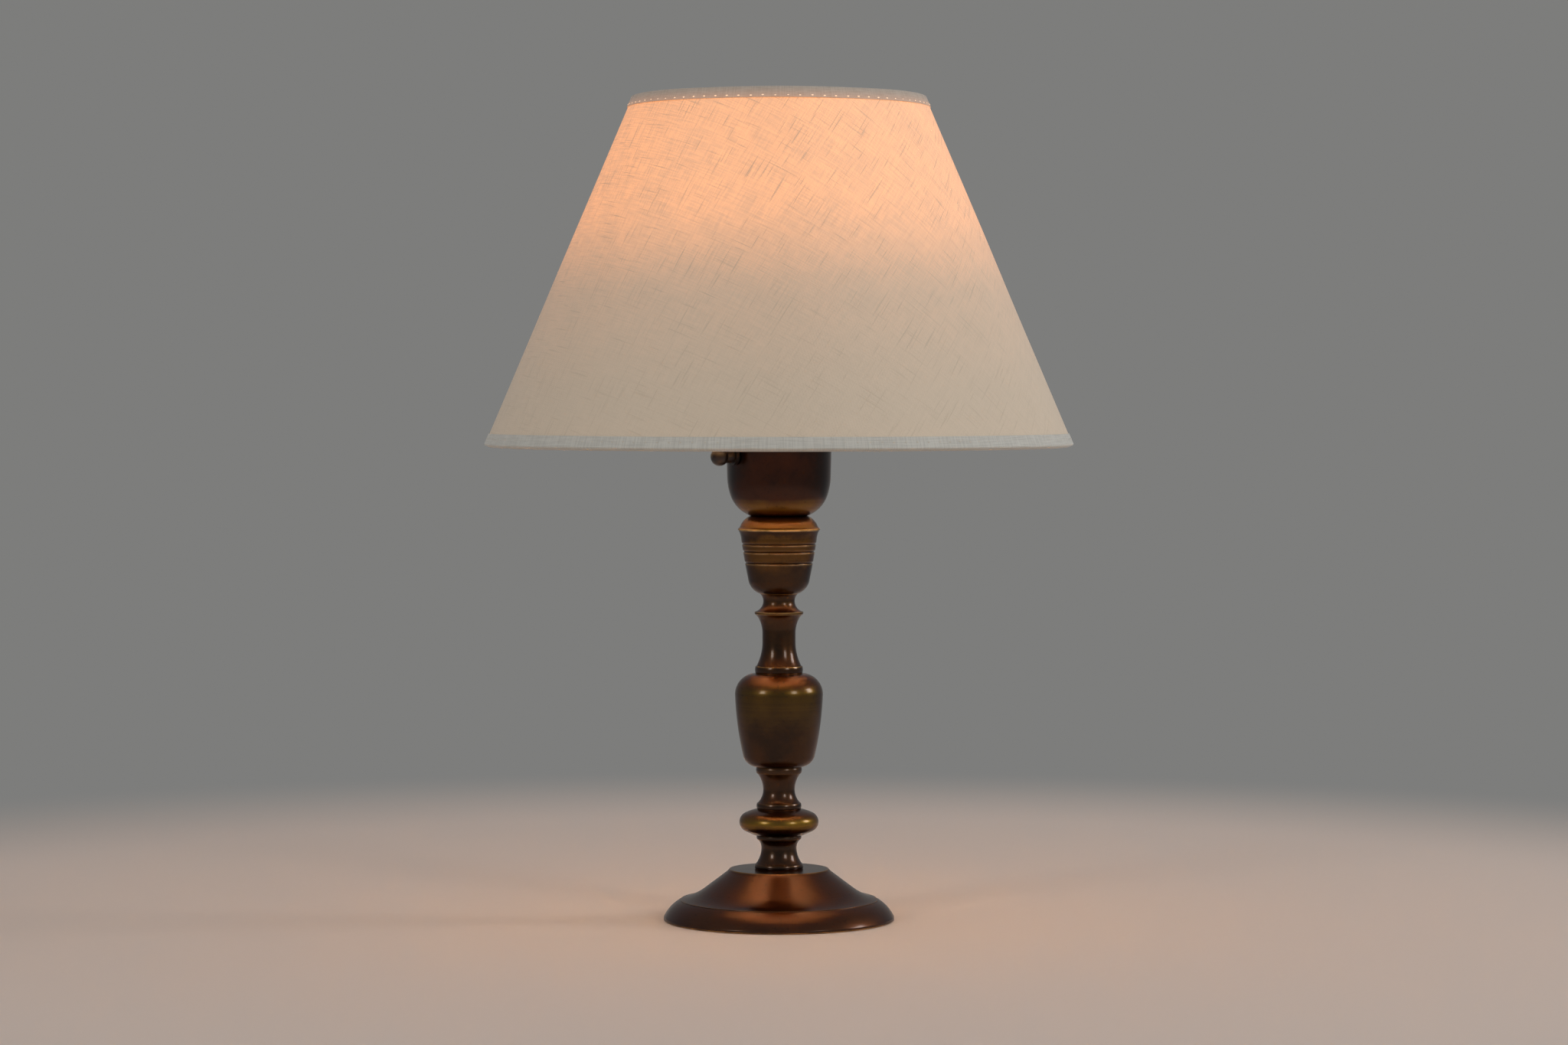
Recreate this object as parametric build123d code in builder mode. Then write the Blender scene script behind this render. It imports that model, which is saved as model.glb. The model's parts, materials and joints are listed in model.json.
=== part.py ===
from build123d import *
import math
import os

os.makedirs("parts", exist_ok=True)

# Candlestick table lamp, in millimetres. Z is the axis of the turned column and the
# origin lies under the felt at the centre of the foot. The front of the lamp is -Y.
# Heights named ..._h are measured from the underside of their own piece.

# Clearances
rod_gap = 0.25  # threaded tube in the bores of the column, radial
register_gap = 0.1  # spigot in its recess, radial and axial
slide_gap = 0.05  # small fixed pieces in their holes, radial
turn_gap = 0.06  # switch shaft in its bush, radial
clamp_gap = 0.08  # fitter washer between the two shade rings
body_gap = 0.3  # between pieces that move apart

# Foot: felt disc, spun shell, iron ballast, washer and nut
felt_t = 1.2
foot_lift = 0.2  # the felt stands this far proud of the rim
felt_inset = 0.3
foot_r = 68.6
foot_h = 30.2
foot_wall = 2.2
rim_low_h = 1.6
rim_bulge = 1.06  # height of the rim's arc over its chord
step_r = 58.7
step_h = 11.5
step_rise = 0.5
step_ledge = 0.5
cove_r = 45.1
cove_h = 17.9
foot_shoulder_r = 31.4
foot_shoulder_h = 28.2
foot_top_r = 29.5
ballast_r = 50.0
ballast_rim_h = 6.0
ballast_top_r = 24.0
nut_pocket_r = 15.0
nut_pocket_h = 16.0
washer_r = 12.0
washer_t = 1.5
nut_across_flats = 14.0
base_nut_t = 4.0

# Cord inlet at the back of the foot
inlet_h = 5.6
inlet_bore_r = 2.9
bush_r = 3.7
bush_flange_r = 4.6
bush_flange_t = 1.4
bush_seat_depth = 4.6  # spot-faced seat of the bush, inwards from the rim
bush_length = 7.0
ballast_slot_gap = 1.5

# Threaded tube that ties the lamp together, M10 x 1
rod_r = 5.0
rod_bore_r = 3.75
rod_below_nut = 0.5
rod_into_holder = 6.0

# Spigots that centre each turned piece on the one below
register_r = 8.0
register_h = 1.0

# Small drop from a turned ring to the waist beside it
spool_lip = 0.7
ring_round = 0.4  # how far the side of a turned ring falls back at its edges

# Lower spool
low_spool_foot_r = 14.5
low_spool_foot_h = 2.9
low_spool_waist_r = 10.5
low_spool_waist_h = 12.6
low_spool_top_r = 13.4
low_spool_top_h = 2.8
low_spool_h = 20.4

# Flattened knop
knop_r = 23.6
knop_edge_r = 20.2
knop_edge_h = 10.6
knop_heel_r = 15.2
knop_seat_r = 13.4
knop_h = 15.2

# Middle spool
mid_spool_foot_r = 13.4
mid_spool_foot_h = 3.7
mid_spool_waist_r = 9.45
mid_spool_waist_h = 11.5
mid_spool_top_r = 13.7
mid_spool_top_h = 3.8
mid_spool_h = 25.3

# Vase
vase_seat_r = 13.8
vase_heel_mid_r = 18.9
vase_heel_mid_h = 2.35
vase_heel_r = 21.35
vase_heel_h = 6.7
vase_flank_r = 24.5
vase_flank_h = 23.7
vase_r = 26.2
vase_widest_h = 43.2
vase_neck_r = 14.3
vase_h = 55.6
vase_wall = 3.0

# Trumpet neck
neck_bead_r = 14.3
neck_bead_h = 4.4
neck_flare_r = 13.4
neck_waist_r = 9.9
neck_waist_low_h = 18.6
neck_waist_top_h = 24.1
neck_throat_r = 11.9
neck_throat_h = 32.5
neck_flange_r = 14.5
neck_flange_h = 35.4
neck_flange_t = 1.3
neck_collar_r = 9.4
neck_collar_h = 43.1
neck_top_r = 11.6
neck_h = 47.7

# Candle cup with its three turned grooves
candle_seat_r = 11.9
candle_heel_mid_r = 15.7
candle_heel_mid_h = 2.7
candle_heel_r = 18.1
candle_heel_h = 7.2
candle_band_mid_r = 20.05
candle_band_mid_h = 17.2
candle_band_r = 22.4
candle_band_h = 31.6
candle_flare_r = 23.0
candle_flare_h = 35.0
candle_rim_r = 24.2
candle_h = 37.8
candle_wall = 1.8
candle_floor_t = 4.5
groove_w = 1.2
groove_depth = 0.55
grooves = ((18.2, 20.1), (24.9, 21.2), (29.4, 21.95))  # height and outer radius of each

# Bevelled drip ring
drip_r = 24.5
drip_edge_h = 0.5
drip_lip_r = 23.3
drip_lip_h = 1.5
drip_mid_r = 21.8
drip_mid_h = 4.5
drip_top_r = 17.3
drip_h = 8.1

# Spun cup round the lamp holder
cup_seat_r = 16.4
cup_bowl_mid_r = 25.0
cup_bowl_mid_h = 5.7
cup_bowl_r = 29.05
cup_bowl_h = 12.9
cup_side_r = 30.8
cup_side_h = 23.0
cup_rim_r = 31.4
cup_h = 49.5
cup_wall = 1.0
lock_nut_t = 3.0

# Lamp holder: cap, switch housing, porcelain core, threaded barrel, screw shell
cap_lift = 2.0
cap_hub_r = 9.0
cap_hub_h = 7.0
cap_r = 20.5
cap_shoulder_h = 9.0
cap_h = 21.5
cap_wall = 2.2
grub_r = 1.5
switch_body_h = 16.0
core_r = 16.2
core_h = 9.0
core_recess_r = 7.5
core_recess_h = 3.0
lead_hole_r = 1.2
lead_hole_place = 11.5
barrel_r = 19.75
barrel_bore_r = 16.5
barrel_flange_h = 3.0
barrel_h = 38.0
barrel_lip_h = 3.0
screw_shell_r = 13.45
screw_shell_t = 0.5
screw_shell_h = 25.0
contact_hole_r = 6.0
leaf_t = 0.5
leaf_w = 5.0
leaf_foot = 3.2
leaf_reach = 4.0
leaf_rise = 4.2

# Terminals under the switch housing
terminal_place = 10.5
terminal_x = 5.0
terminal_y = 6.0
terminal_h = 9.0
terminal_screw_r = 1.5
terminal_head_r = 2.5
terminal_head_t = 1.6

# Turn switch: its axis leaves the cup to the left of the front
switch_turn = 55.0  # degrees from the front towards the left
switch_chamber_r = 7.2
switch_chamber_start = 2.5
switch_chamber_end = 14.5
switch_plug_end = 19.0
switch_tube_r = 3.5
switch_tube_end = 34.2
switch_shaft_r = 2.0
cam_width = 8.8
cam_round = 1.6
cam_length = 8.0
cam_start = 4.0
cam_contact_t = 0.4
cam_contact_w = 4.0
cam_contact_gap = 0.35
bezel_r = 4.9
bezel_t = 2.3
knob_ball_r = 5.3
knob_ball_place = 42.6
knob_stem_r = 3.7
knob_shaft_depth = 8.0

# Rings that clamp the shade on the barrel
shade_ring_r = 27.0
shade_ring_low_t = 6.0
shade_ring_top_t = 9.0
shade_ring_flange_t = 2.4
shade_ring_collar_r = 24.0
shade_ring_h = 11.0  # underside of the lower ring above the foot of the barrel
shade_ring_grips = 12
shade_ring_grip_r = 1.6

# Bulb: cap, insulator, contact, housing, board and opal dome
bulb_tip_r = 4.8
bulb_tip_h = 1.2
bulb_insulator_h = 3.4
bulb_insulator_r = 11.4
bulb_cap_r = 13.1
bulb_cap_h = 22.4
bulb_neck_r = 13.6
bulb_neck_h = 2.0
bulb_waist_r = 17.5
bulb_waist_h = 16.0
bulb_r = 30.0
bulb_housing_h = 40.0
bulb_dome_h = 42.0
bulb_dome_wall = 1.4
bulb_board_r = 22.0
bulb_board_t = 1.6

# Shade: fitter, wires, liner, linen and folded trims
fitter_bore_r = 20.5
fitter_r = 33.0
fitter_t = 1.5
fitter_rise = 18.2  # underside of the washer above the lower edge of the shade
fitter_arm_count = 3
fitter_arm_r = 1.5
fitter_arm_start_r = 28.6
fitter_arm_bend_r = 38.0
fitter_arm_bend = 12.0
fitter_slit = 6.0
shade_bottom_r = 174.2
shade_top_r = 86.5
shade_h = 206.0
linen_t = 0.6
liner_t = 0.6
glue_gap = 0.05
wire_r = 1.5
wire_hug_gap = 0.3
wire_edge = 0.6
trim_t = 0.6
bottom_trim_h = 7.2
top_trim_h = 7.2
trim_inner_h = 8.0

# Levels that follow from the heights above
foot_z = foot_lift
foot_top_z = foot_z + foot_h
low_spool_z = foot_top_z
knop_z = low_spool_z + low_spool_h
mid_spool_z = knop_z + knop_h
vase_z = mid_spool_z + mid_spool_h
neck_z = vase_z + vase_h
candle_z = neck_z + neck_h
drip_z = candle_z + candle_h
cup_z = drip_z + drip_h
lock_nut_z = cup_z + cup_wall
cap_z = lock_nut_z + lock_nut_t + cap_lift
switch_z = cap_z + cap_h
core_z = switch_z + switch_body_h
knob_z = switch_z + switch_body_h / 2
shell_z = core_z + core_h
contact_z = shell_z - core_recess_h + leaf_rise + leaf_t
bulb_z = contact_z + body_gap
bulb_insulator_z = bulb_z + bulb_tip_h
bulb_cap_z = bulb_insulator_z + bulb_insulator_h
bulb_housing_z = bulb_cap_z + bulb_cap_h
bulb_dome_z = bulb_housing_z + bulb_housing_h
ring_low_z = core_z + shade_ring_h
fitter_z = ring_low_z + shade_ring_low_t + clamp_gap
ring_top_z = fitter_z + fitter_t + clamp_gap
shade_z = fitter_z - fitter_rise

ballast_z = felt_t
ballast_top_z = foot_top_z - foot_wall
washer_z = ballast_z + nut_pocket_h - washer_t
base_nut_z = washer_z - base_nut_t
rod_z = base_nut_z - rod_below_nut
rod_top_z = cap_z + rod_into_holder
inlet_z = foot_z + inlet_h
bush_seat_y = foot_r - bush_seat_depth
column_bore_r = rod_r + rod_gap

# Plane through the switch axis: x runs out along the knob, y is up
switch_out = Vector(-math.sin(math.radians(switch_turn)), -math.cos(math.radians(switch_turn)), 0)
switch_profile = Plane(origin=(0, 0, knob_z), x_dir=switch_out, z_dir=switch_out.cross(Vector(0, 0, 1)))
switch_face = Plane(origin=(0, 0, knob_z), x_dir=(0, 0, 1), z_dir=switch_out)
switch_axis = Axis((0, 0, knob_z), switch_out)

# Plane of the shade's wall: x runs up the slant from the lower edge, y points outwards
wall_run = shade_bottom_r - shade_top_r
wall_length = math.hypot(wall_run, shade_h)
wall_cos = wall_run / wall_length
wall_sin = shade_h / wall_length
shade_wall = Plane(origin=(shade_bottom_r, 0, shade_z), x_dir=(-wall_cos, 0, wall_sin), z_dir=(0, 1, 0))
liner_face = linen_t + glue_gap + liner_t
wire_depth = liner_face + glue_gap + wire_r
wire_up = wire_edge - glue_gap + wire_hug_gap + wire_r


on_base = (Align.CENTER, Align.CENTER, Align.MIN)


def bead(radius, low_z, height):
    """Outer side of a small turned ring: a shallow arc that is widest at mid height."""
    ThreePointArc(
        (radius - ring_round, low_z),
        (radius, low_z + height / 2),
        (radius - ring_round, low_z + height),
    )


def spool(z, height, ring_r, ring_h, waist_r, waist_h, top_r, top_h):
    """Turned spool: a ring, a waist of two tangent arcs and a second ring, bored for the tube."""
    top_z = z + height
    waist_z = z + waist_h
    with BuildPart() as turned:
        with BuildSketch(Plane.XZ):
            with BuildLine():
                Polyline((ring_r - ring_round, z), (column_bore_r, z), (column_bore_r, top_z))
                Line((column_bore_r, top_z), (top_r - ring_round, top_z))
                bead(top_r, top_z - top_h, top_h)
                Line((top_r - ring_round, top_z - top_h), (top_r - spool_lip, top_z - top_h))
                TangentArc((waist_r, waist_z), (top_r - spool_lip, top_z - top_h), tangent=(0, 1))
                TangentArc((waist_r, waist_z), (ring_r - spool_lip, z + ring_h), tangent=(0, -1))
                Line((ring_r - spool_lip, z + ring_h), (ring_r - ring_round, z + ring_h))
                bead(ring_r, z, ring_h)
            make_face()
        revolve(axis=Axis.Z)
        add_spigot(top_z)
        cut_recess(z)
    return turned


def add_spigot(z):
    """Raised register on top of a turned piece."""
    with Locations((0, 0, z)):
        Cylinder(register_r, register_h, align=on_base)
        Cylinder(column_bore_r, register_h, align=on_base, mode=Mode.SUBTRACT)


def cut_recess(z):
    """Recess under a turned piece that takes the register of the piece below."""
    with Locations((0, 0, z)):
        Cylinder(register_r + register_gap, register_h + register_gap, align=on_base, mode=Mode.SUBTRACT)


def hex_nut(z, thickness):
    """Hexagon nut on the threaded tube."""
    with BuildPart() as nut:
        with BuildSketch(Plane.XY.offset(z)):
            RegularPolygon(nut_across_flats / 2, 6, major_radius=False)
            Circle(rod_r + slide_gap, mode=Mode.SUBTRACT)
        extrude(amount=thickness)
    return nut


def write(piece, name):
    piece.part.label = name
    export_step(piece.part, "parts/" + name + ".step")


# Felt disc inside the rim of the foot, glued under the ballast
with BuildPart() as felt_pad:
    with BuildSketch(Plane.XY):
        Circle(foot_r - foot_wall - felt_inset)
    extrude(amount=felt_t)
write(felt_pad, "felt_pad")

# Foot: flat top, cove flank, small step and a rounded rim, hollow underneath
with BuildPart() as base_shell:
    with BuildSketch(Plane.XZ):
        with BuildLine():
            step_z = foot_z + step_h
            Polyline((foot_r, foot_z + rim_low_h), (foot_r, foot_z), (0, foot_z), (0, foot_top_z))
            Line((0, foot_top_z), (foot_top_r, foot_top_z))
            flank = Line((foot_shoulder_r, foot_z + foot_shoulder_h), (cove_r, foot_z + cove_h))
            TangentArc(flank @ 0, (foot_top_r, foot_top_z), tangent=-(flank % 0))
            TangentArc((cove_r, foot_z + cove_h), (step_r, step_z + step_rise), tangent=flank % 1)
            Polyline((step_r, step_z + step_rise), (step_r, step_z), (step_r + step_ledge, step_z))
            SagittaArc((step_r + step_ledge, step_z), (foot_r, foot_z + rim_low_h), rim_bulge)
        make_face()
    revolve(axis=Axis.Z)
    offset(amount=-foot_wall, openings=base_shell.faces().sort_by(Axis.Z)[0])
    with Locations((0, 0, foot_top_z)):
        Hole(column_bore_r, depth=2 * foot_wall)
    add_spigot(foot_top_z)
    # Spot-faced seat and drilled hole for the cord bush
    with BuildSketch(Plane.XZ.offset(-bush_seat_y)):
        with Locations((0, inlet_z)):
            Circle(bush_flange_r + slide_gap)
    extrude(amount=-foot_r, mode=Mode.SUBTRACT)
    with BuildSketch(Plane.XZ.offset(-bush_seat_y)):
        with Locations((0, inlet_z)):
            Circle(bush_r + slide_gap)
    extrude(amount=bush_length, mode=Mode.SUBTRACT)
write(base_shell, "base_shell")

# Flanged bush that lines the cord inlet
with BuildPart() as cord_bush:
    with BuildSketch(Plane.XZ.offset(-bush_seat_y)):
        with Locations((0, inlet_z)):
            Circle(bush_flange_r)
    extrude(amount=-bush_flange_t)
    with BuildSketch(Plane.XZ.offset(-bush_seat_y)):
        with Locations((0, inlet_z)):
            Circle(bush_r)
    extrude(amount=bush_length - bush_flange_t)
    with BuildSketch(Plane.XZ.offset(-bush_seat_y - bush_flange_t)):
        with Locations((0, inlet_z)):
            Circle(inlet_bore_r)
    extrude(amount=bush_length, mode=Mode.SUBTRACT)
write(cord_bush, "cord_bush")

# Iron ballast that fills the hollow, with a pocket for the nut and a slot for the cord
with BuildPart() as ballast_disc:
    with BuildSketch(Plane.XZ):
        with BuildLine():
            Polyline(
                (column_bore_r, ballast_z),
                (ballast_r, ballast_z),
                (ballast_r, ballast_z + ballast_rim_h),
                (ballast_top_r, ballast_top_z),
                (column_bore_r, ballast_top_z),
                close=True,
            )
        make_face()
    revolve(axis=Axis.Z)
    with BuildSketch(Plane.XY.offset(ballast_z)):
        Circle(nut_pocket_r)
    extrude(amount=nut_pocket_h, mode=Mode.SUBTRACT)
    with BuildSketch(Plane.XY.offset(ballast_z)):
        with Locations((0, ballast_r / 2)):
            Rectangle(2 * (bush_r + ballast_slot_gap), ballast_r)
    extrude(amount=inlet_z + bush_r + ballast_slot_gap - ballast_z, mode=Mode.SUBTRACT)
write(ballast_disc, "ballast_disc")

with BuildPart() as base_washer:
    with BuildSketch(Plane.XY.offset(washer_z)):
        Circle(washer_r)
        Circle(column_bore_r, mode=Mode.SUBTRACT)
    extrude(amount=washer_t)
write(base_washer, "base_washer")

base_nut = hex_nut(base_nut_z, base_nut_t)
write(base_nut, "base_nut")

# Threaded tube from the base nut up into the lamp holder
with BuildPart() as tie_rod:
    with BuildSketch(Plane.XY.offset(rod_z)):
        Circle(rod_r)
        Circle(rod_bore_r, mode=Mode.SUBTRACT)
    extrude(amount=rod_top_z - rod_z)
write(tie_rod, "tie_rod")

lower_spool = spool(
    low_spool_z,
    low_spool_h,
    low_spool_foot_r,
    low_spool_foot_h,
    low_spool_waist_r,
    low_spool_waist_h,
    low_spool_top_r,
    low_spool_top_h,
)
write(lower_spool, "lower_spool")

# Flattened knop: a tight arc at the edge runs tangent into flatter arcs above and below
with BuildPart() as lower_knop:
    knop_mid_z = knop_z + knop_h / 2
    with BuildSketch(Plane.XZ):
        with BuildLine():
            edge = ThreePointArc(
                (knop_edge_r, knop_mid_z - knop_edge_h / 2),
                (knop_r, knop_mid_z),
                (knop_edge_r, knop_mid_z + knop_edge_h / 2),
            )
            TangentArc(edge @ 1, (knop_seat_r, knop_z + knop_h), tangent=edge % 1)
            Line((knop_seat_r, knop_z + knop_h), (column_bore_r, knop_z + knop_h))
            Line((column_bore_r, knop_z + knop_h), (column_bore_r, knop_z))
            Line((column_bore_r, knop_z), (knop_heel_r, knop_z))
            TangentArc(edge @ 0, (knop_heel_r, knop_z), tangent=-(edge % 0))
        make_face()
    revolve(axis=Axis.Z)
    add_spigot(knop_z + knop_h)
    cut_recess(knop_z)
write(lower_knop, "lower_knop")

middle_spool = spool(
    mid_spool_z,
    mid_spool_h,
    mid_spool_foot_r,
    mid_spool_foot_h,
    mid_spool_waist_r,
    mid_spool_waist_h,
    mid_spool_top_r,
    mid_spool_top_h,
)
write(middle_spool, "middle_spool")

# Vase: rounded heel, long swelling flank and a round shoulder, cast hollow
with BuildPart() as vase_body:
    vase_top_z = vase_z + vase_h
    with BuildSketch(Plane.XZ):
        with BuildLine():
            ThreePointArc(
                (vase_seat_r, vase_z),
                (vase_heel_mid_r, vase_z + vase_heel_mid_h),
                (vase_heel_r, vase_z + vase_heel_h),
            )
            ThreePointArc(
                (vase_heel_r, vase_z + vase_heel_h),
                (vase_flank_r, vase_z + vase_flank_h),
                (vase_r, vase_z + vase_widest_h),
            )
            TangentArc((vase_r, vase_z + vase_widest_h), (vase_neck_r, vase_top_z), tangent=(0, 1))
            Polyline((vase_neck_r, vase_top_z), (column_bore_r, vase_top_z), (column_bore_r, vase_z))
            Line((column_bore_r, vase_z), (vase_seat_r, vase_z))
        make_face()
    revolve(axis=Axis.Z)
    with BuildSketch(Plane.XZ):
        with BuildLine():
            Polyline(
                (column_bore_r, vase_z + 2 * vase_wall),
                (vase_heel_r - 2 * vase_wall, vase_z + 2 * vase_wall),
                (vase_heel_r - vase_wall, vase_z + vase_heel_h + vase_wall),
                (vase_flank_r - vase_wall, vase_z + vase_flank_h),
                (vase_r - vase_wall, vase_z + vase_widest_h),
                (vase_neck_r - vase_wall, vase_top_z - 2 * vase_wall),
                (column_bore_r, vase_top_z - 2 * vase_wall),
                close=True,
            )
        make_face()
    revolve(axis=Axis.Z, mode=Mode.SUBTRACT)
    add_spigot(vase_top_z)
    cut_recess(vase_z)
write(vase_body, "vase_body")

# Trumpet neck: bead, flared shaft, sharp flange and a short collar above it
with BuildPart() as trumpet_neck:
    flange_low_z = neck_z + neck_flange_h
    flange_top_z = flange_low_z + neck_flange_t
    with BuildSketch(Plane.XZ):
        with BuildLine():
            Polyline(
                (neck_bead_r - ring_round, neck_z),
                (column_bore_r, neck_z),
                (column_bore_r, neck_z + neck_h),
                (neck_top_r, neck_z + neck_h),
            )
            TangentArc(
                (neck_collar_r, neck_z + neck_collar_h), (neck_top_r, neck_z + neck_h), tangent=(0, 1)
            )
            TangentArc(
                (neck_collar_r, neck_z + neck_collar_h), (neck_flange_r, flange_top_z), tangent=(0, -1)
            )
            Line((neck_flange_r, flange_top_z), (neck_flange_r, flange_low_z))
            throat = TangentArc(
                (neck_waist_r, neck_z + neck_waist_top_h), (neck_throat_r, neck_z + neck_throat_h),
                tangent=(0, 1),
            )
            TangentArc(throat @ 1, (neck_flange_r, flange_low_z), tangent=throat % 1)
            Line((neck_waist_r, neck_z + neck_waist_top_h), (neck_waist_r, neck_z + neck_waist_low_h))
            TangentArc(
                (neck_waist_r, neck_z + neck_waist_low_h), (neck_flare_r, neck_z + neck_bead_h),
                tangent=(0, -1),
            )
            Line((neck_flare_r, neck_z + neck_bead_h), (neck_bead_r - ring_round, neck_z + neck_bead_h))
            bead(neck_bead_r, neck_z, neck_bead_h)
        make_face()
    revolve(axis=Axis.Z)
    add_spigot(neck_z + neck_h)
    cut_recess(neck_z)
write(trumpet_neck, "trumpet_neck")

# Candle cup: a thin cup on a thick floor, with three turned grooves round its band
with BuildPart() as candle_cup:
    candle_top_z = candle_z + candle_h
    with BuildSketch(Plane.XZ):
        with BuildLine():
            ThreePointArc(
                (candle_seat_r, candle_z),
                (candle_heel_mid_r, candle_z + candle_heel_mid_h),
                (candle_heel_r, candle_z + candle_heel_h),
            )
            band = ThreePointArc(
                (candle_heel_r, candle_z + candle_heel_h),
                (candle_band_mid_r, candle_z + candle_band_mid_h),
                (candle_band_r, candle_z + candle_band_h),
            )
            ThreePointArc(
                (candle_band_r, candle_z + candle_band_h),
                (candle_flare_r, candle_z + candle_flare_h),
                (candle_rim_r, candle_top_z),
            )
            Polyline(
                (candle_rim_r, candle_top_z),
                (candle_band_r - candle_wall, candle_top_z),
                (candle_band_r - candle_wall, candle_z + candle_band_h),
                (candle_heel_r - candle_wall, candle_z + candle_heel_h + candle_wall),
                (candle_seat_r, candle_z + candle_floor_t),
                (column_bore_r, candle_z + candle_floor_t),
                (column_bore_r, candle_z),
                (candle_seat_r, candle_z),
            )
        make_face()
    revolve(axis=Axis.Z)
    for groove_h, groove_r in grooves:
        groove_z = candle_z + groove_h
        with BuildSketch(Plane.XZ):
            with BuildLine():
                Polyline(
                    (groove_r - groove_depth, groove_z),
                    (groove_r + groove_depth, groove_z + groove_w),
                    (groove_r + groove_depth, groove_z - groove_w),
                    close=True,
                )
            make_face()
        revolve(axis=Axis.Z, mode=Mode.SUBTRACT)
    cut_recess(candle_z)
write(candle_cup, "candle_cup")

# Drip ring: bevelled cover that drops into the mouth of the candle cup
with BuildPart() as drip_ring:
    plug_r = candle_band_r - candle_wall - register_gap
    with BuildSketch(Plane.XZ):
        with BuildLine():
            Polyline((drip_top_r, drip_z + drip_h), (column_bore_r, drip_z + drip_h))
            Polyline(
                (column_bore_r, drip_z + drip_h),
                (column_bore_r, drip_z - register_h),
                (plug_r, drip_z - register_h),
                (plug_r, drip_z),
                (drip_r, drip_z),
                (drip_r, drip_z + drip_edge_h),
            )
            Line((drip_r, drip_z + drip_edge_h), (drip_lip_r, drip_z + drip_lip_h))
            ThreePointArc(
                (drip_lip_r, drip_z + drip_lip_h),
                (drip_mid_r, drip_z + drip_mid_h),
                (drip_top_r, drip_z + drip_h),
            )
        make_face()
    revolve(axis=Axis.Z)
    add_spigot(drip_z + drip_h)
write(drip_ring, "drip_ring")

# Spun cup: thin bowl with a hole for the tube and one for the switch
with BuildPart() as socket_cup:
    cup_top_z = cup_z + cup_h
    with BuildSketch(Plane.XZ):
        with BuildLine():
            Polyline((cup_rim_r, cup_top_z), (0, cup_top_z), (0, cup_z), (cup_seat_r, cup_z))
            bowl = ThreePointArc(
                (cup_seat_r, cup_z),
                (cup_bowl_mid_r, cup_z + cup_bowl_mid_h),
                (cup_bowl_r, cup_z + cup_bowl_h),
            )
            TangentArc(bowl @ 1, (cup_side_r, cup_z + cup_side_h), tangent=bowl % 1)
            Line((cup_side_r, cup_z + cup_side_h), (cup_rim_r, cup_top_z))
        make_face()
    revolve(axis=Axis.Z)
    offset(amount=-cup_wall, openings=socket_cup.faces().sort_by(Axis.Z)[-1])
    cut_recess(cup_z)
    with BuildSketch(switch_face):
        Circle(switch_tube_r + 2 * slide_gap)
    extrude(amount=2 * cup_rim_r, mode=Mode.SUBTRACT)
write(socket_cup, "socket_cup")

cup_lock_nut = hex_nut(lock_nut_z, lock_nut_t)
write(cup_lock_nut, "cup_lock_nut")

# Cap of the lamp holder, screwed on the tube
with BuildPart() as holder_cap:
    with BuildSketch(Plane.XZ):
        with BuildLine():
            Polyline(
                (rod_r + slide_gap, cap_z),
                (cap_hub_r, cap_z),
                (cap_hub_r, cap_z + cap_hub_h - cap_wall),
                (cap_r, cap_z + cap_shoulder_h),
                (cap_r, cap_z + cap_h),
                (cap_r - cap_wall, cap_z + cap_h),
                (cap_r - cap_wall, cap_z + cap_shoulder_h + cap_wall),
                (cap_hub_r, cap_z + cap_hub_h),
                (rod_r + slide_gap, cap_z + cap_hub_h),
                close=True,
            )
        make_face()
    revolve(axis=Axis.Z)
    with BuildSketch(Plane.YZ):
        with Locations((0, cap_z + (cap_hub_h - cap_wall) / 2)):
            Circle(grub_r + slide_gap)
    extrude(amount=cap_r, mode=Mode.SUBTRACT)
write(holder_cap, "holder_cap")

with BuildPart() as holder_grub_screw:
    with BuildSketch(Plane.YZ.offset(rod_r + slide_gap)):
        with Locations((0, cap_z + (cap_hub_h - cap_wall) / 2)):
            Circle(grub_r)
    extrude(amount=cap_hub_r - rod_r - 2 * slide_gap)
write(holder_grub_screw, "holder_grub_screw")

# Housing of the turn switch, open on one side for the switch insert
with BuildPart() as switch_housing:
    with BuildSketch(Plane.XY.offset(switch_z)):
        Circle(cap_r)
    extrude(amount=switch_body_h)
    with BuildSketch(switch_face.offset(switch_chamber_start)):
        Circle(switch_chamber_r)
    extrude(amount=cap_r, mode=Mode.SUBTRACT)
    with BuildSketch(Plane.XY.offset(switch_z)):
        with PolarLocations(lead_hole_place, 2, start_angle=switch_turn - 90):
            Circle(lead_hole_r)
    extrude(amount=switch_body_h, mode=Mode.SUBTRACT)
write(switch_housing, "switch_housing")

# Brass blocks and clamp screws for the two conductors
terminal_spots = ((terminal_place, 0), (-terminal_place, 0))
terminal_screw_z = switch_z - terminal_h / 2
with BuildPart() as terminals:
    with BuildSketch(Plane.XY.offset(switch_z)):
        with Locations(*terminal_spots):
            Rectangle(terminal_x, terminal_y)
    extrude(amount=-terminal_h)
    with BuildSketch(Plane.YZ):
        with Locations((0, terminal_screw_z)):
            Circle(terminal_screw_r + slide_gap)
    extrude(amount=cap_r, both=True, mode=Mode.SUBTRACT)
write(terminals, "terminals")

with BuildPart() as terminal_screws:
    terminal_face_x = terminal_place + terminal_x / 2
    for side in (1, -1):
        outer_face = Plane(origin=(side * terminal_face_x, 0, terminal_screw_z), z_dir=(side, 0, 0))
        with BuildSketch(outer_face):
            Circle(terminal_head_r)
        extrude(amount=terminal_head_t)
        with BuildSketch(outer_face):
            Circle(terminal_screw_r)
        extrude(amount=-terminal_x)
write(terminal_screws, "terminal_screws")

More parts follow.
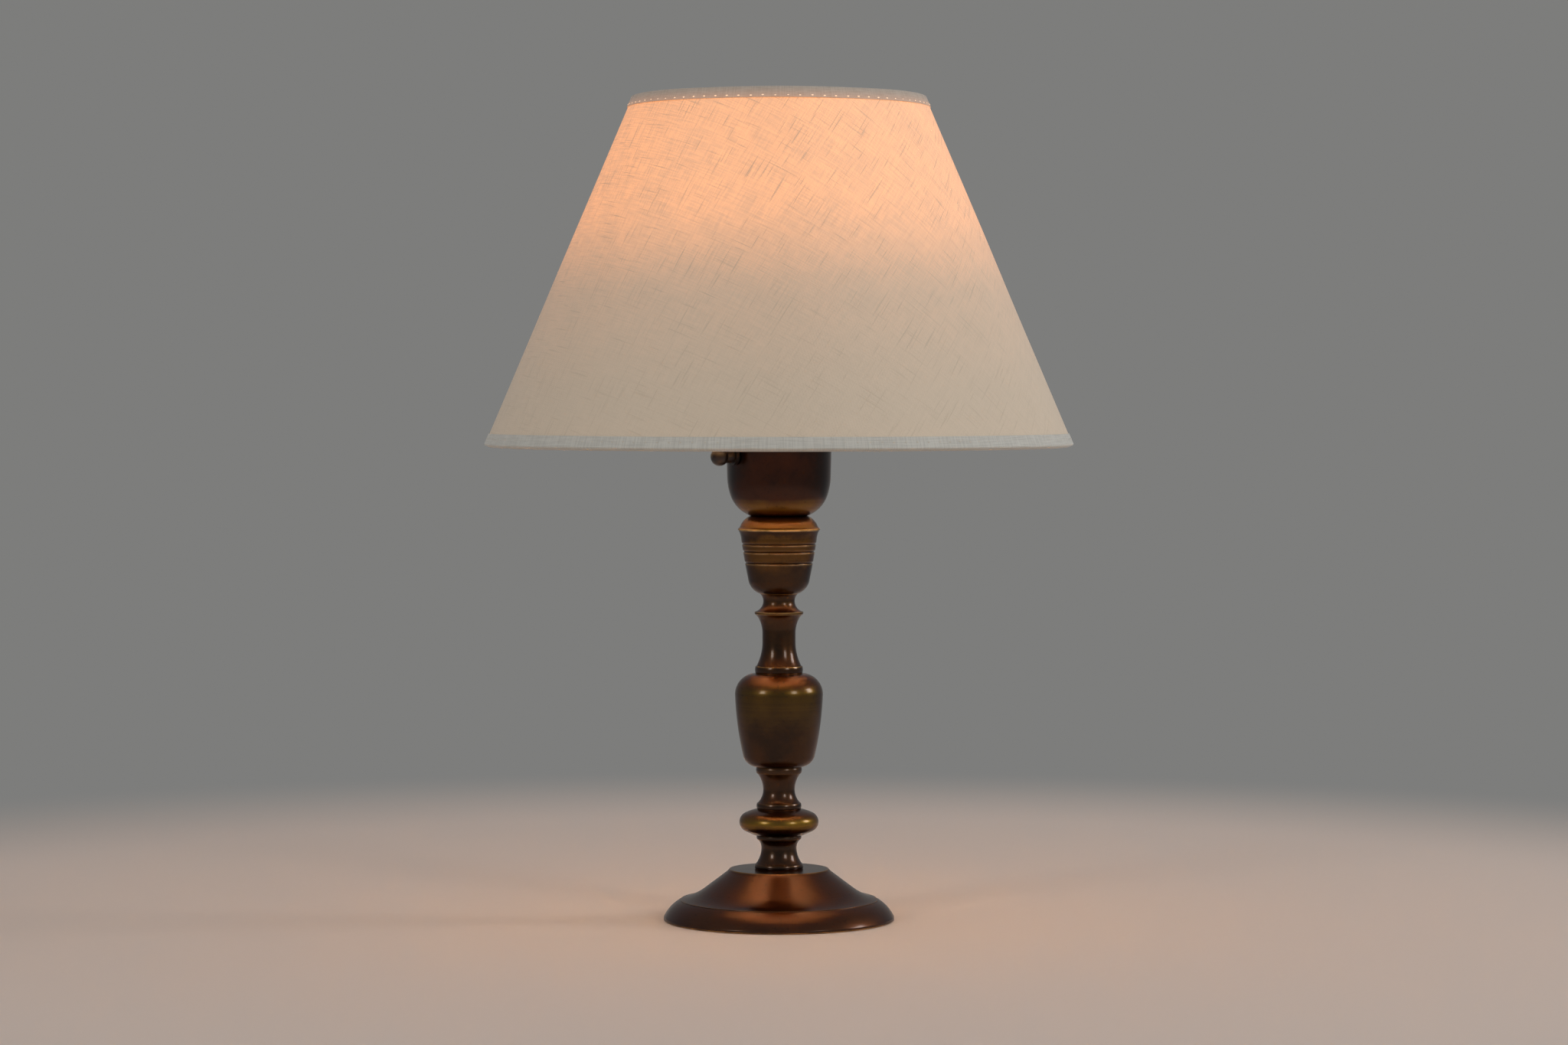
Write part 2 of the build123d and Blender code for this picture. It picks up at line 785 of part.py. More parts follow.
# Switch insert: a plug in the housing and a tube that passes out through the cup
with BuildPart() as switch_neck:
    with BuildSketch(switch_face.offset(switch_chamber_end)):
        Circle(switch_chamber_r - slide_gap)
    extrude(amount=switch_plug_end - switch_chamber_end)
    with BuildSketch(switch_face.offset(switch_chamber_end)):
        Circle(switch_tube_r)
    extrude(amount=switch_tube_end - switch_chamber_end)
    with BuildSketch(switch_face.offset(switch_chamber_end)):
        Circle(switch_shaft_r + turn_gap)
    extrude(amount=switch_tube_end - switch_chamber_end, mode=Mode.SUBTRACT)
write(switch_neck, "switch_neck")

# Round nut that pulls the switch insert against the cup
bezel_start = cup_rim_r + slide_gap
with BuildPart() as switch_bezel:
    with BuildSketch(switch_face.offset(bezel_start)):
        Circle(bezel_r)
        Circle(switch_tube_r + slide_gap, mode=Mode.SUBTRACT)
    extrude(amount=bezel_t)
write(switch_bezel, "switch_bezel")

# Shaft, four-sided cam and ball knob turn together
knob_start = switch_tube_end + body_gap
shaft_end = knob_start + knob_shaft_depth
with BuildPart() as switch_shaft:
    with BuildSketch(switch_face.offset(cam_start)):
        Circle(switch_shaft_r)
    extrude(amount=shaft_end - cam_start)
write(switch_shaft, "switch_shaft")

with BuildPart() as switch_cam:
    with BuildSketch(switch_face.offset(cam_start)):
        RectangleRounded(cam_width, cam_width, cam_round)
        Circle(switch_shaft_r + slide_gap, mode=Mode.SUBTRACT)
    extrude(amount=cam_length)
write(switch_cam, "switch_cam")

with BuildPart() as switch_knob:
    stem_meets_ball = knob_ball_place - math.sqrt(knob_ball_r**2 - knob_stem_r**2)
    with BuildSketch(switch_profile):
        with BuildLine():
            Polyline(
                (shaft_end + slide_gap, 0),
                (shaft_end + slide_gap, switch_shaft_r + slide_gap),
                (knob_start, switch_shaft_r + slide_gap),
                (knob_start, knob_stem_r),
                (stem_meets_ball, knob_stem_r),
            )
            ThreePointArc(
                (stem_meets_ball, knob_stem_r),
                (knob_ball_place, knob_ball_r),
                (knob_ball_place + knob_ball_r, 0),
            )
            Line((knob_ball_place + knob_ball_r, 0), (shaft_end + slide_gap, 0))
        make_face()
    revolve(axis=switch_axis)
write(switch_knob, "switch_knob")

# Spring leaves above and below the cam
cam_corner_r = (cam_width / 2 - cam_round) * math.sqrt(2) + cam_round
with BuildPart() as switch_contacts:
    for side in (1, -1):
        with BuildSketch(switch_face.offset(cam_start)):
            with Locations((side * (cam_corner_r + cam_contact_gap + cam_contact_t / 2), 0)):
                Rectangle(cam_contact_t, cam_contact_w)
        extrude(amount=cam_length)
write(switch_contacts, "switch_contacts")

# Porcelain core under the screw shell
with BuildPart() as porcelain_core:
    with BuildSketch(Plane.XY.offset(core_z)):
        Circle(core_r)
    extrude(amount=core_h)
    with BuildSketch(Plane.XY.offset(shell_z)):
        Circle(core_recess_r)
    extrude(amount=-core_recess_h, mode=Mode.SUBTRACT)
    with BuildSketch(Plane.XY.offset(core_z)):
        with PolarLocations(lead_hole_place, 2, start_angle=switch_turn - 90):
            Circle(lead_hole_r)
    extrude(amount=core_h, mode=Mode.SUBTRACT)
write(porcelain_core, "porcelain_core")

# Sprung leaf that meets the tip of the bulb
with BuildPart() as centre_contact:
    recess_floor_z = shell_z - core_recess_h
    leaf_start = -(core_recess_r - 1)
    with BuildSketch(Plane.XZ):
        with BuildLine():
            Polyline(
                (leaf_start, recess_floor_z),
                (leaf_start + leaf_foot, recess_floor_z),
                (-leaf_reach / 2, recess_floor_z + leaf_rise),
                (leaf_reach / 2, recess_floor_z + leaf_rise),
                (leaf_reach / 2, recess_floor_z + leaf_rise + leaf_t),
                (-leaf_reach / 2 - leaf_t, recess_floor_z + leaf_rise + leaf_t),
                (leaf_start + leaf_foot - leaf_t, recess_floor_z + leaf_t),
                (leaf_start, recess_floor_z + leaf_t),
                close=True,
            )
        make_face()
    extrude(amount=leaf_w / 2, both=True)
write(centre_contact, "centre_contact")

# Barrel whose outside thread carries the shade rings
with BuildPart() as threaded_barrel:
    with BuildSketch(Plane.XZ):
        with BuildLine():
            Polyline(
                (barrel_bore_r, core_z),
                (cap_r, core_z),
                (cap_r, core_z + barrel_flange_h),
                (barrel_r, core_z + barrel_flange_h),
                (barrel_r, core_z + barrel_h),
                (screw_shell_r + screw_shell_t + slide_gap, core_z + barrel_h),
                (screw_shell_r + screw_shell_t + slide_gap, core_z + barrel_h - barrel_lip_h),
                (barrel_bore_r, core_z + barrel_h - barrel_lip_h),
                close=True,
            )
        make_face()
    revolve(axis=Axis.Z)
write(threaded_barrel, "threaded_barrel")

with BuildPart() as screw_shell:
    with BuildSketch(Plane.XZ):
        with BuildLine():
            Polyline(
                (contact_hole_r, shell_z),
                (screw_shell_r + screw_shell_t, shell_z),
                (screw_shell_r + screw_shell_t, shell_z + screw_shell_h),
                (screw_shell_r, shell_z + screw_shell_h),
                (screw_shell_r, shell_z + screw_shell_t),
                (contact_hole_r, shell_z + screw_shell_t),
                close=True,
            )
        make_face()
    revolve(axis=Axis.Z)
write(screw_shell, "screw_shell")

# Two rings clamp the fitter of the shade; the upper one has finger grips
with BuildPart() as lower_shade_ring:
    with BuildSketch(Plane.XY.offset(ring_low_z)):
        Circle(shade_ring_r)
        Circle(barrel_r + slide_gap, mode=Mode.SUBTRACT)
    extrude(amount=shade_ring_low_t)
    chamfer(lower_shade_ring.edges().group_by(Axis.Z)[0].sort_by(SortBy.RADIUS)[-1], 1.5)
write(lower_shade_ring, "lower_shade_ring")

with BuildPart() as upper_shade_ring:
    with BuildSketch(Plane.XY.offset(ring_top_z)):
        Circle(shade_ring_r)
    extrude(amount=shade_ring_flange_t)
    with BuildSketch(Plane.XY.offset(ring_top_z + shade_ring_flange_t)):
        Circle(shade_ring_collar_r)
        with PolarLocations(shade_ring_collar_r + shade_ring_grip_r / 2, shade_ring_grips):
            Circle(shade_ring_grip_r, mode=Mode.SUBTRACT)
    extrude(amount=shade_ring_top_t - shade_ring_flange_t)
    with BuildSketch(Plane.XY.offset(ring_top_z)):
        Circle(barrel_r + slide_gap)
    extrude(amount=shade_ring_top_t, mode=Mode.SUBTRACT)
write(upper_shade_ring, "upper_shade_ring")

# Bulb
with BuildPart() as bulb_contact:
    with BuildSketch(Plane.XY.offset(bulb_z)):
        Circle(bulb_tip_r)
    extrude(amount=bulb_tip_h)
write(bulb_contact, "bulb_contact")

with BuildPart() as bulb_insulator:
    with BuildSketch(Plane.XY.offset(bulb_insulator_z)):
        Circle(bulb_tip_r + 1)
    with BuildSketch(Plane.XY.offset(bulb_cap_z)):
        Circle(bulb_insulator_r)
    loft()
write(bulb_insulator, "bulb_insulator")

with BuildPart() as bulb_cap:
    with BuildSketch(Plane.XY.offset(bulb_cap_z)):
        Circle(bulb_cap_r)
    extrude(amount=bulb_cap_h)
    chamfer(bulb_cap.edges().group_by(Axis.Z)[0], bulb_cap_r - bulb_insulator_r)
write(bulb_cap, "bulb_cap")

with BuildPart() as bulb_housing:
    housing_top_z = bulb_housing_z + bulb_housing_h
    with BuildSketch(Plane.XZ):
        with BuildLine():
            Polyline(
                (0, housing_top_z),
                (0, bulb_housing_z),
                (bulb_neck_r, bulb_housing_z),
                (bulb_neck_r, bulb_housing_z + bulb_neck_h),
            )
            waist = TangentArc(
                (bulb_neck_r, bulb_housing_z + bulb_neck_h), (bulb_waist_r, bulb_housing_z + bulb_waist_h),
                tangent=(0, 1),
            )
            TangentArc((bulb_r, housing_top_z), waist @ 1, tangent=(0, -1))
            Line((bulb_r, housing_top_z), (0, housing_top_z))
        make_face()
    revolve(axis=Axis.Z)
write(bulb_housing, "bulb_housing")

with BuildPart() as led_board:
    with BuildSketch(Plane.XY.offset(bulb_dome_z)):
        Circle(bulb_board_r)
    extrude(amount=bulb_board_t)
write(led_board, "led_board")

with BuildPart() as bulb_dome:
    crown_r = bulb_r - bulb_dome_wall
    crown_z = bulb_dome_z + bulb_dome_h
    with BuildSketch(Plane.XZ):
        with BuildLine():
            Line((bulb_r, bulb_dome_z), (bulb_r, crown_z - bulb_r))
            CenterArc((0, crown_z - bulb_r), bulb_r, 0, 90)
            Line((0, crown_z), (0, crown_z - bulb_dome_wall))
            CenterArc((0, crown_z - bulb_r), crown_r, 0, 90)
            Line((crown_r, crown_z - bulb_r), (crown_r, bulb_dome_z))
            Line((crown_r, bulb_dome_z), (bulb_r, bulb_dome_z))
        make_face()
    revolve(axis=Axis.Z)
write(bulb_dome, "bulb_dome")

# Fitter washer and the arms that carry the lower wire of the shade
with BuildPart() as fitter_ring:
    with BuildSketch(Plane.XY.offset(fitter_z)):
        Circle(fitter_r)
        Circle(fitter_bore_r, mode=Mode.SUBTRACT)
    extrude(amount=fitter_t)
write(fitter_ring, "fitter_ring")

bottom_wire_r = shade_bottom_r - wire_up * wall_cos - wire_depth * wall_sin
bottom_wire_z = shade_z + wire_up * wall_sin - wire_depth * wall_cos
top_wire_up = wall_length - wire_up
with BuildPart() as fitter_arms:
    arm_z = fitter_z - fitter_arm_r - slide_gap
    arm_end_r = bottom_wire_r - wire_r - slide_gap
    arm_ends = []
    for arm in range(fitter_arm_count):
        arm_turn = math.radians(90 + arm * 360 / fitter_arm_count)
        arm_out = Vector(math.cos(arm_turn), math.sin(arm_turn), 0)
        arm_plane = Plane(origin=(0, 0, 0), x_dir=arm_out, z_dir=arm_out.cross(Vector(0, 0, 1)))
        with BuildLine(arm_plane) as arm_path:
            arm_line = FilletPolyline(
                (fitter_arm_start_r, arm_z),
                (fitter_arm_bend_r, arm_z),
                (arm_end_r, bottom_wire_z),
                radius=fitter_arm_bend,
            )
        with BuildSketch(Plane(origin=arm_line @ 0, z_dir=arm_line % 0)):
            Circle(fitter_arm_r)
        sweep(path=arm_path.wires()[0])
        arm_ends.append(Plane(origin=arm_line @ 1, z_dir=arm_line % 1))
write(fitter_arms, "fitter_arms")

# Wires at the lower and upper edge of the shade
with BuildPart() as bottom_wire:
    with BuildSketch(shade_wall):
        with Locations((wire_up, -wire_depth)):
            Circle(wire_r)
    revolve(axis=Axis.Z)
write(bottom_wire, "bottom_wire")

with BuildPart() as top_wire:
    with BuildSketch(shade_wall):
        with Locations((top_wire_up, -wire_depth)):
            Circle(wire_r)
    revolve(axis=Axis.Z)
write(top_wire, "top_wire")

# Stiff liner and the linen glued on its outside
with BuildPart() as shade_liner:
    with BuildSketch(shade_wall):
        with Locations((wire_edge, -liner_face)):
            Rectangle(wall_length - 2 * wire_edge, liner_t, align=(Align.MIN, Align.MIN))
    revolve(axis=Axis.Z)
write(shade_liner, "shade_liner")

with BuildPart() as shade_linen:
    with BuildSketch(shade_wall):
        with Locations((wire_edge, -linen_t)):
            Rectangle(wall_length - 2 * wire_edge, linen_t, align=(Align.MIN, Align.MIN))
    revolve(axis=Axis.Z)
write(shade_linen, "shade_linen")


def folded_trim(edge_x, up, outer_h):
    """Tape folded over the edge and the wire: an outside leg, a round fold and an inside leg."""
    outer_out = glue_gap + trim_t
    fold_in = edge_x + up * (wire_edge - glue_gap)
    fold_out = fold_in - up * trim_t
    wire_x = edge_x + up * wire_up
    hug_in = wire_r + wire_hug_gap
    hug_out = hug_in + trim_t
    leg_side = -(liner_face + glue_gap)
    half = math.sqrt(0.5)
    with BuildPart() as trim:
        with BuildSketch(shade_wall):
            with BuildLine():
                Polyline(
                    (fold_in, -wire_depth),
                    (fold_in, glue_gap),
                    (edge_x + up * outer_h, glue_gap),
                    (edge_x + up * outer_h, outer_out),
                    (fold_in, outer_out),
                )
                ThreePointArc(
                    (fold_in, outer_out),
                    (fold_in - up * trim_t * half, glue_gap + trim_t * half),
                    (fold_out, glue_gap),
                )
                Line((fold_out, glue_gap), (fold_out, -wire_depth))
                for hug in (hug_in, hug_out):
                    ThreePointArc(
                        (wire_x - up * hug, -wire_depth),
                        (wire_x, -wire_depth - hug),
                        (wire_x + up * hug * half, -wire_depth - hug * half),
                    )
                Polyline(
                    (wire_x + up * hug_out * half, -wire_depth - hug_out * half),
                    (wire_x + up * (hug_out * math.sqrt(2) + wire_r - trim_t), leg_side - trim_t),
                    (edge_x + up * trim_inner_h, leg_side - trim_t),
                    (edge_x + up * trim_inner_h, leg_side),
                    (wire_x + up * (hug_in * math.sqrt(2) + wire_r), leg_side),
                    (wire_x + up * hug_in * half, -wire_depth - hug_in * half),
                )
            make_face()
        revolve(axis=Axis.Z)
    return trim


# The lower trim is slit where the arms of the fitter reach the wire
with BuildPart() as bottom_trim:
    add(folded_trim(0, 1, bottom_trim_h).part)
    for arm_end in arm_ends:
        with BuildSketch(arm_end):
            Circle(fitter_arm_r + slide_gap)
        extrude(amount=-fitter_slit, mode=Mode.SUBTRACT)
write(bottom_trim, "bottom_trim")

top_trim = folded_trim(wall_length, -1, top_trim_h)
write(top_trim, "top_trim")
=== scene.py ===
import json
import math
import random

import bmesh
import bpy
from mathutils import Matrix, Vector


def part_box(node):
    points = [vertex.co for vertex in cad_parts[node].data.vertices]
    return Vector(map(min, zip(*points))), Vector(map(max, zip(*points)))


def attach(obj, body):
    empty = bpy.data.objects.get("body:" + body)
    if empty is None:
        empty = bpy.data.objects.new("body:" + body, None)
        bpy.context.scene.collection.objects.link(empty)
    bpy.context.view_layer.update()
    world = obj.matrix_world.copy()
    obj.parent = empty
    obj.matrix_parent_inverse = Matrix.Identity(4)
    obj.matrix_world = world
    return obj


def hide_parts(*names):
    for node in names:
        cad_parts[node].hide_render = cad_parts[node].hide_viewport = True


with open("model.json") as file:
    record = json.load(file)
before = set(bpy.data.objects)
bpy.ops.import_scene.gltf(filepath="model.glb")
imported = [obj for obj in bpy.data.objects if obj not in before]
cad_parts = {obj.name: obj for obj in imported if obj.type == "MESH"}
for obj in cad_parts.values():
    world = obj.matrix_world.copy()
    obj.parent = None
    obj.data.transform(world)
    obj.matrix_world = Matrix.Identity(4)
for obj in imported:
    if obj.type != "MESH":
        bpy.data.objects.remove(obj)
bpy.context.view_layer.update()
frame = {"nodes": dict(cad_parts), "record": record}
nodes = frame["nodes"]
print("frame loaded:", len(nodes), "nodes")

# Metres throughout. The lamp stands on z = 0 and its front looks along -Y.

viewpoint = {
    "lens": 93.16,
    "sensor": 36.0,
    "distance": 2.409,
    "sideways": 0.003,
    "height": 0.3195,
    "pitch": 1.97,  # degrees below the horizon
}


def makeCamera(v):
    data = bpy.data.cameras.new("photoCamera")
    data.lens = v["lens"]
    data.sensor_width = v["sensor"]
    cam = bpy.data.objects.new("photoCamera", data)
    bpy.context.scene.collection.objects.link(cam)
    cam.location = (v["sideways"], -v["distance"], v["height"])
    cam.rotation_euler = (math.radians(90 - v["pitch"]), 0, 0)
    bpy.context.scene.camera = cam


makeCamera(viewpoint)
bpy.context.scene.view_settings.view_transform = "Standard"
print("camera set")


# Small tools for meshes and node trees

def smoothStep(value, low, high):
    t = min(1.0, max(0.0, (value - low) / (high - low)))
    return t * t * (3 - 2 * t)


def ringFaces(rows, around):
    # quads of a closed tube: rows of points round the axis, the last row joined to the first
    faces = []
    for i in range(rows):
        j = (i + 1) % rows
        for s in range(around):
            t = (s + 1) % around
            faces.append((i * around + s, i * around + t, j * around + t, j * around + s))
    return faces


def makePiece(name, verts, faces):
    mesh = bpy.data.meshes.new(name)
    mesh.from_pydata(verts, [], faces)
    mesh.polygons.foreach_set("use_smooth", [True] * len(mesh.polygons))
    mesh.update()
    obj = bpy.data.objects.new(name, mesh)
    bpy.context.scene.collection.objects.link(obj)
    return obj


def newMaterial(name):
    mat = bpy.data.materials.new(name)
    mat.use_nodes = True
    mat.node_tree.nodes.clear()
    return mat


def add(tree, kind, settings=None, **values):
    made = tree.nodes.new(kind)
    for key, value in (settings or {}).items():
        setattr(made, key, value)
    for key, value in values.items():
        made.inputs[key].default_value = value
    return made


def join(tree, source, target, into=0):
    tree.links.new(source.outputs[0], target.inputs[into])
    return target


def objectPlace(tree):
    return add(tree, "ShaderNodeTexCoord").outputs["Object"]


def splitPlace(tree, vector):
    split = add(tree, "ShaderNodeSeparateXYZ")
    tree.links.new(vector, split.inputs[0])
    return split.outputs


def mathNode(tree, operation, a, b=None):
    made = add(tree, "ShaderNodeMath", {"operation": operation})
    for slot, value in enumerate((a, b)):
        if value is None:
            continue
        if isinstance(value, (int, float)):
            made.inputs[slot].default_value = value
        else:
            tree.links.new(value, made.inputs[slot])
    return made.outputs[0]


def times(tree, a, b):
    return mathNode(tree, "MULTIPLY", a, b)


def plus(tree, a, b):
    return mathNode(tree, "ADD", a, b)


def ramp(tree, value, low, high, fromValue=0.0, toValue=1.0):
    made = add(tree, "ShaderNodeMapRange", {"interpolation_type": "SMOOTHSTEP"})
    tree.links.new(value, made.inputs["Value"])
    made.inputs["From Min"].default_value = low
    made.inputs["From Max"].default_value = high
    made.inputs["To Min"].default_value = fromValue
    made.inputs["To Max"].default_value = toValue
    return made.outputs["Result"]


def mixColour(tree, factor, a, b):
    made = add(tree, "ShaderNodeMix", {"data_type": "RGBA"})
    for socket, value in (("Factor", factor), ("A", a), ("B", b)):
        target = [s for s in made.inputs if s.name == socket and s.enabled][0]
        if isinstance(value, tuple):
            target.default_value = (*value, 1.0)
        else:
            tree.links.new(value, target)
    return [s for s in made.outputs if s.enabled][0]


def noise(tree, vector, scale, detail=3.0, roughness=0.55, dimensions="3D"):
    made = add(tree, "ShaderNodeTexNoise", {"noise_dimensions": dimensions})
    made.inputs["Scale"].default_value = scale
    made.inputs["Detail"].default_value = detail
    made.inputs["Roughness"].default_value = roughness
    tree.links.new(vector, made.inputs["W" if dimensions == "1D" else "Vector"])
    return made.outputs["Fac"]


def scaled(tree, vector, factors):
    made = add(tree, "ShaderNodeVectorMath", {"operation": "MULTIPLY"})
    tree.links.new(vector, made.inputs[0])
    made.inputs[1].default_value = factors
    return made.outputs[0]


def bump(tree, height, distance, strength=1.0):
    made = add(tree, "ShaderNodeBump", Strength=strength, Distance=distance)
    tree.links.new(height, made.inputs["Height"])
    return made.outputs["Normal"]


def principled(mat, **values):
    tree = mat.node_tree
    shader = add(tree, "ShaderNodeBsdfPrincipled")
    for key, value in values.items():
        shader.inputs[key.replace("_", " ")].default_value = value
    join(tree, shader, add(tree, "ShaderNodeOutputMaterial"))
    return shader


# Turned brass. Each piece is made again from the outline of its CAD node, fine enough for a polish.
turning = {
    "segments": 144,
    "step": 0.0009,  # longest piece of the outline
    "leastStep": 0.00004,
    "cutAzimuth": 0.643,  # where the node is cut to read its outline
    "drillSegments": 48,
    "weld": 0.000002,
    "softEdge": 0.00018,  # reach of the broken edges
    "sharpTurn": 0.35,  # radians of a corner that gets broken
    "edgeShare": 0.4,  # of the neighbouring runs that a broken edge may take
    "edgeReach": 0.0008,
    "hollowReach": 0.0012,
    # convex edges rubbed bright: worn lacquer and a painted highlight
    "wearAndGlintTurns": (0.35, 1.25),
    "hollowTurns": (0.15, 1.1),
    # surfaces facing up, which get a painted reflection of the lit shade
    "upwardReflectionLifts": (0.1, 0.85),
}


def outlineLength(points):
    return sum(math.dist(points[i - 1], points[i]) for i in range(len(points)))


def outlineOf(node):
    # closed outline (r, z) of a turned node, cut by a plane through the axis
    bm = bmesh.new()
    bm.from_mesh(nodes[node].data)
    bmesh.ops.remove_doubles(bm, verts=bm.verts, dist=turning["weld"])
    azimuth = turning["cutAzimuth"]
    outward = Vector((math.cos(azimuth), math.sin(azimuth), 0))
    cut = bmesh.ops.bisect_plane(
        bm, geom=bm.verts[:] + bm.edges[:] + bm.faces[:], plane_co=(0, 0, 0),
        plane_no=(-outward.y, outward.x, 0), dist=1e-8,
    )
    near = {}
    for edge in cut["geom_cut"]:
        if isinstance(edge, bmesh.types.BMEdge) and all(v.co.dot(outward) > 1e-5 for v in edge.verts):
            a, b = edge.verts
            near.setdefault(a, []).append(b)
            near.setdefault(b, []).append(a)
    loops = []
    left = set(near)
    while left:
        here = min(left, key=lambda v: (v.co.z, v.co.x))
        loop = []
        while here:
            left.discard(here)
            loop.append((here.co.dot(outward), here.co.z))
            here = next((v for v in near[here] if v in left), None)
        loops.append(loop)
    bm.free()
    return max(loops, key=outlineLength)


def turnAt(points, i):
    ax, az = points[i - 1]
    bx, bz = points[i]
    cx, cz = points[(i + 1) % len(points)]
    first = math.atan2(bz - az, bx - ax)
    second = math.atan2(cz - bz, cx - bx)
    return (second - first + math.pi) % (2 * math.pi) - math.pi


def cleaned(points):
    least = turning["leastStep"]
    kept = []
    for p in points:
        if not kept or math.dist(p, kept[-1]) > least:
            kept.append(p)
    if math.dist(kept[0], kept[-1]) <= least:
        kept.pop()
    area = sum(kept[i - 1][0] * kept[i][1] - kept[i][0] * kept[i - 1][1] for i in range(len(kept)))
    return kept if area > 0 else kept[::-1]  # anticlockwise, so a convex corner turns left


def brokenEdges(points, reach):
    # each sharp corner becomes a small round of four points
    made = []
    for i, (x, z) in enumerate(points):
        if abs(turnAt(points, i)) < turning["sharpTurn"]:
            made.append((x, z))
            continue
        px, pz = points[i - 1]
        nx, nz = points[(i + 1) % len(points)]
        back, on = math.dist((x, z), (px, pz)), math.dist((x, z), (nx, nz))
        cut = min(reach, turning["edgeShare"] * back, turning["edgeShare"] * on)
        a = (x + (px - x) * cut / back, z + (pz - z) * cut / back)
        b = (x + (nx - x) * cut / on, z + (nz - z) * cut / on)
        for t in (0, 1 / 3, 2 / 3, 1):
            made.append(tuple(
                (1 - t) ** 2 * a[k] + 2 * t * (1 - t) * (x, z)[k] + t * t * b[k] for k in (0, 1)
            ))
    return made


def refined(points, step):
    made = []
    for i, p in enumerate(points):
        q = points[(i + 1) % len(points)]
        parts = max(1, math.ceil(math.dist(p, q) / step))
        made += [(p[0] + (q[0] - p[0]) * t / parts, p[1] + (q[1] - p[1]) * t / parts) for t in range(parts)]
    return made


def turnWithin(points, reach):
    # sum of the turns that lie within reach of each point, along the outline
    count = len(points)
    turns = [turnAt(points, i) for i in range(count)]
    sums = []
    for i in range(count):
        total = turns[i]
        for way in (1, -1):
            gone, j = 0.0, i
            while True:
                k = (j + way) % count
                gone += math.dist(points[j], points[k])
                if gone > reach or k == i:
                    break
                total += turns[k] * (1 - gone / reach)
                j = k
        sums.append(total)
    return sums


def turned(name, node, step=turning["step"], cut=None):
    # cut(r, z, angle) is the depth of a thread under the turned surface
    segments = turning["segments"]
    points = refined(brokenEdges(cleaned(outlineOf(node)), turning["softEdge"]), step)
    floorZ, roofZ = min(z for r, z in points), max(z for r, z in points)
    sharp = turnWithin(points, turning["edgeReach"])
    hollow = turnWithin(points, turning["hollowReach"])
    marks = {"edgeWearAndGlint": [], "cavity": [], "upwardReflection": [], "rise": []}
    verts = []
    for i, (r, z) in enumerate(points):
        onR, onZ = points[(i + 1) % len(points)]
        backR, backZ = points[i - 1]
        lift = (backR - onR) / max(1e-9, math.hypot(onR - backR, onZ - backZ))
        # convex edges: worn lacquer and a painted highlight
        marks["edgeWearAndGlint"] += [smoothStep(sharp[i], *turning["wearAndGlintTurns"])] * segments
        marks["cavity"] += [smoothStep(-hollow[i], *turning["hollowTurns"])] * segments
        # surfaces facing up: painted reflection of the lit shade
        marks["upwardReflection"] += [smoothStep(lift, *turning["upwardReflectionLifts"])] * segments
        marks["rise"] += [(z - floorZ) / (roofZ - floorZ)] * segments
        for s in range(segments):
            angle = 2 * math.pi * s / segments
            reach = r - cut(r, z, angle) if cut else r
            verts.append((reach * math.cos(angle), reach * math.sin(angle), z))
    obj = makePiece(name, verts, ringFaces(len(points), segments))
    for title, values in marks.items():
        obj.data.attributes.new(title, "FLOAT", "POINT").data.foreach_set("value", values)
    return obj


def drilled(obj, centre, direction, radius, length):
    # one round hole through a wall of the piece
    drill = bmesh.new()
    bmesh.ops.create_cone(
        drill, cap_ends=True, segments=turning["drillSegments"],
        radius1=radius, radius2=radius, depth=length,
        matrix=Matrix.Translation(centre) @ direction.to_track_quat("Z", "Y").to_matrix().to_4x4(),
    )
    mesh = bpy.data.meshes.new("drill")
    drill.to_mesh(mesh)
    drill.free()
    tool = bpy.data.objects.new("drill", mesh)
    bpy.context.scene.collection.objects.link(tool)
    cutter = obj.modifiers.new("hole", "BOOLEAN")
    cutter.operation = "DIFFERENCE"
    cutter.object = tool
    cutter.solver = "EXACT"
    whole = bpy.data.meshes.new_from_object(obj.evaluated_get(bpy.context.evaluated_depsgraph_get()))
    obj.modifiers.clear()
    obj.data = whole
    bpy.data.objects.remove(tool)
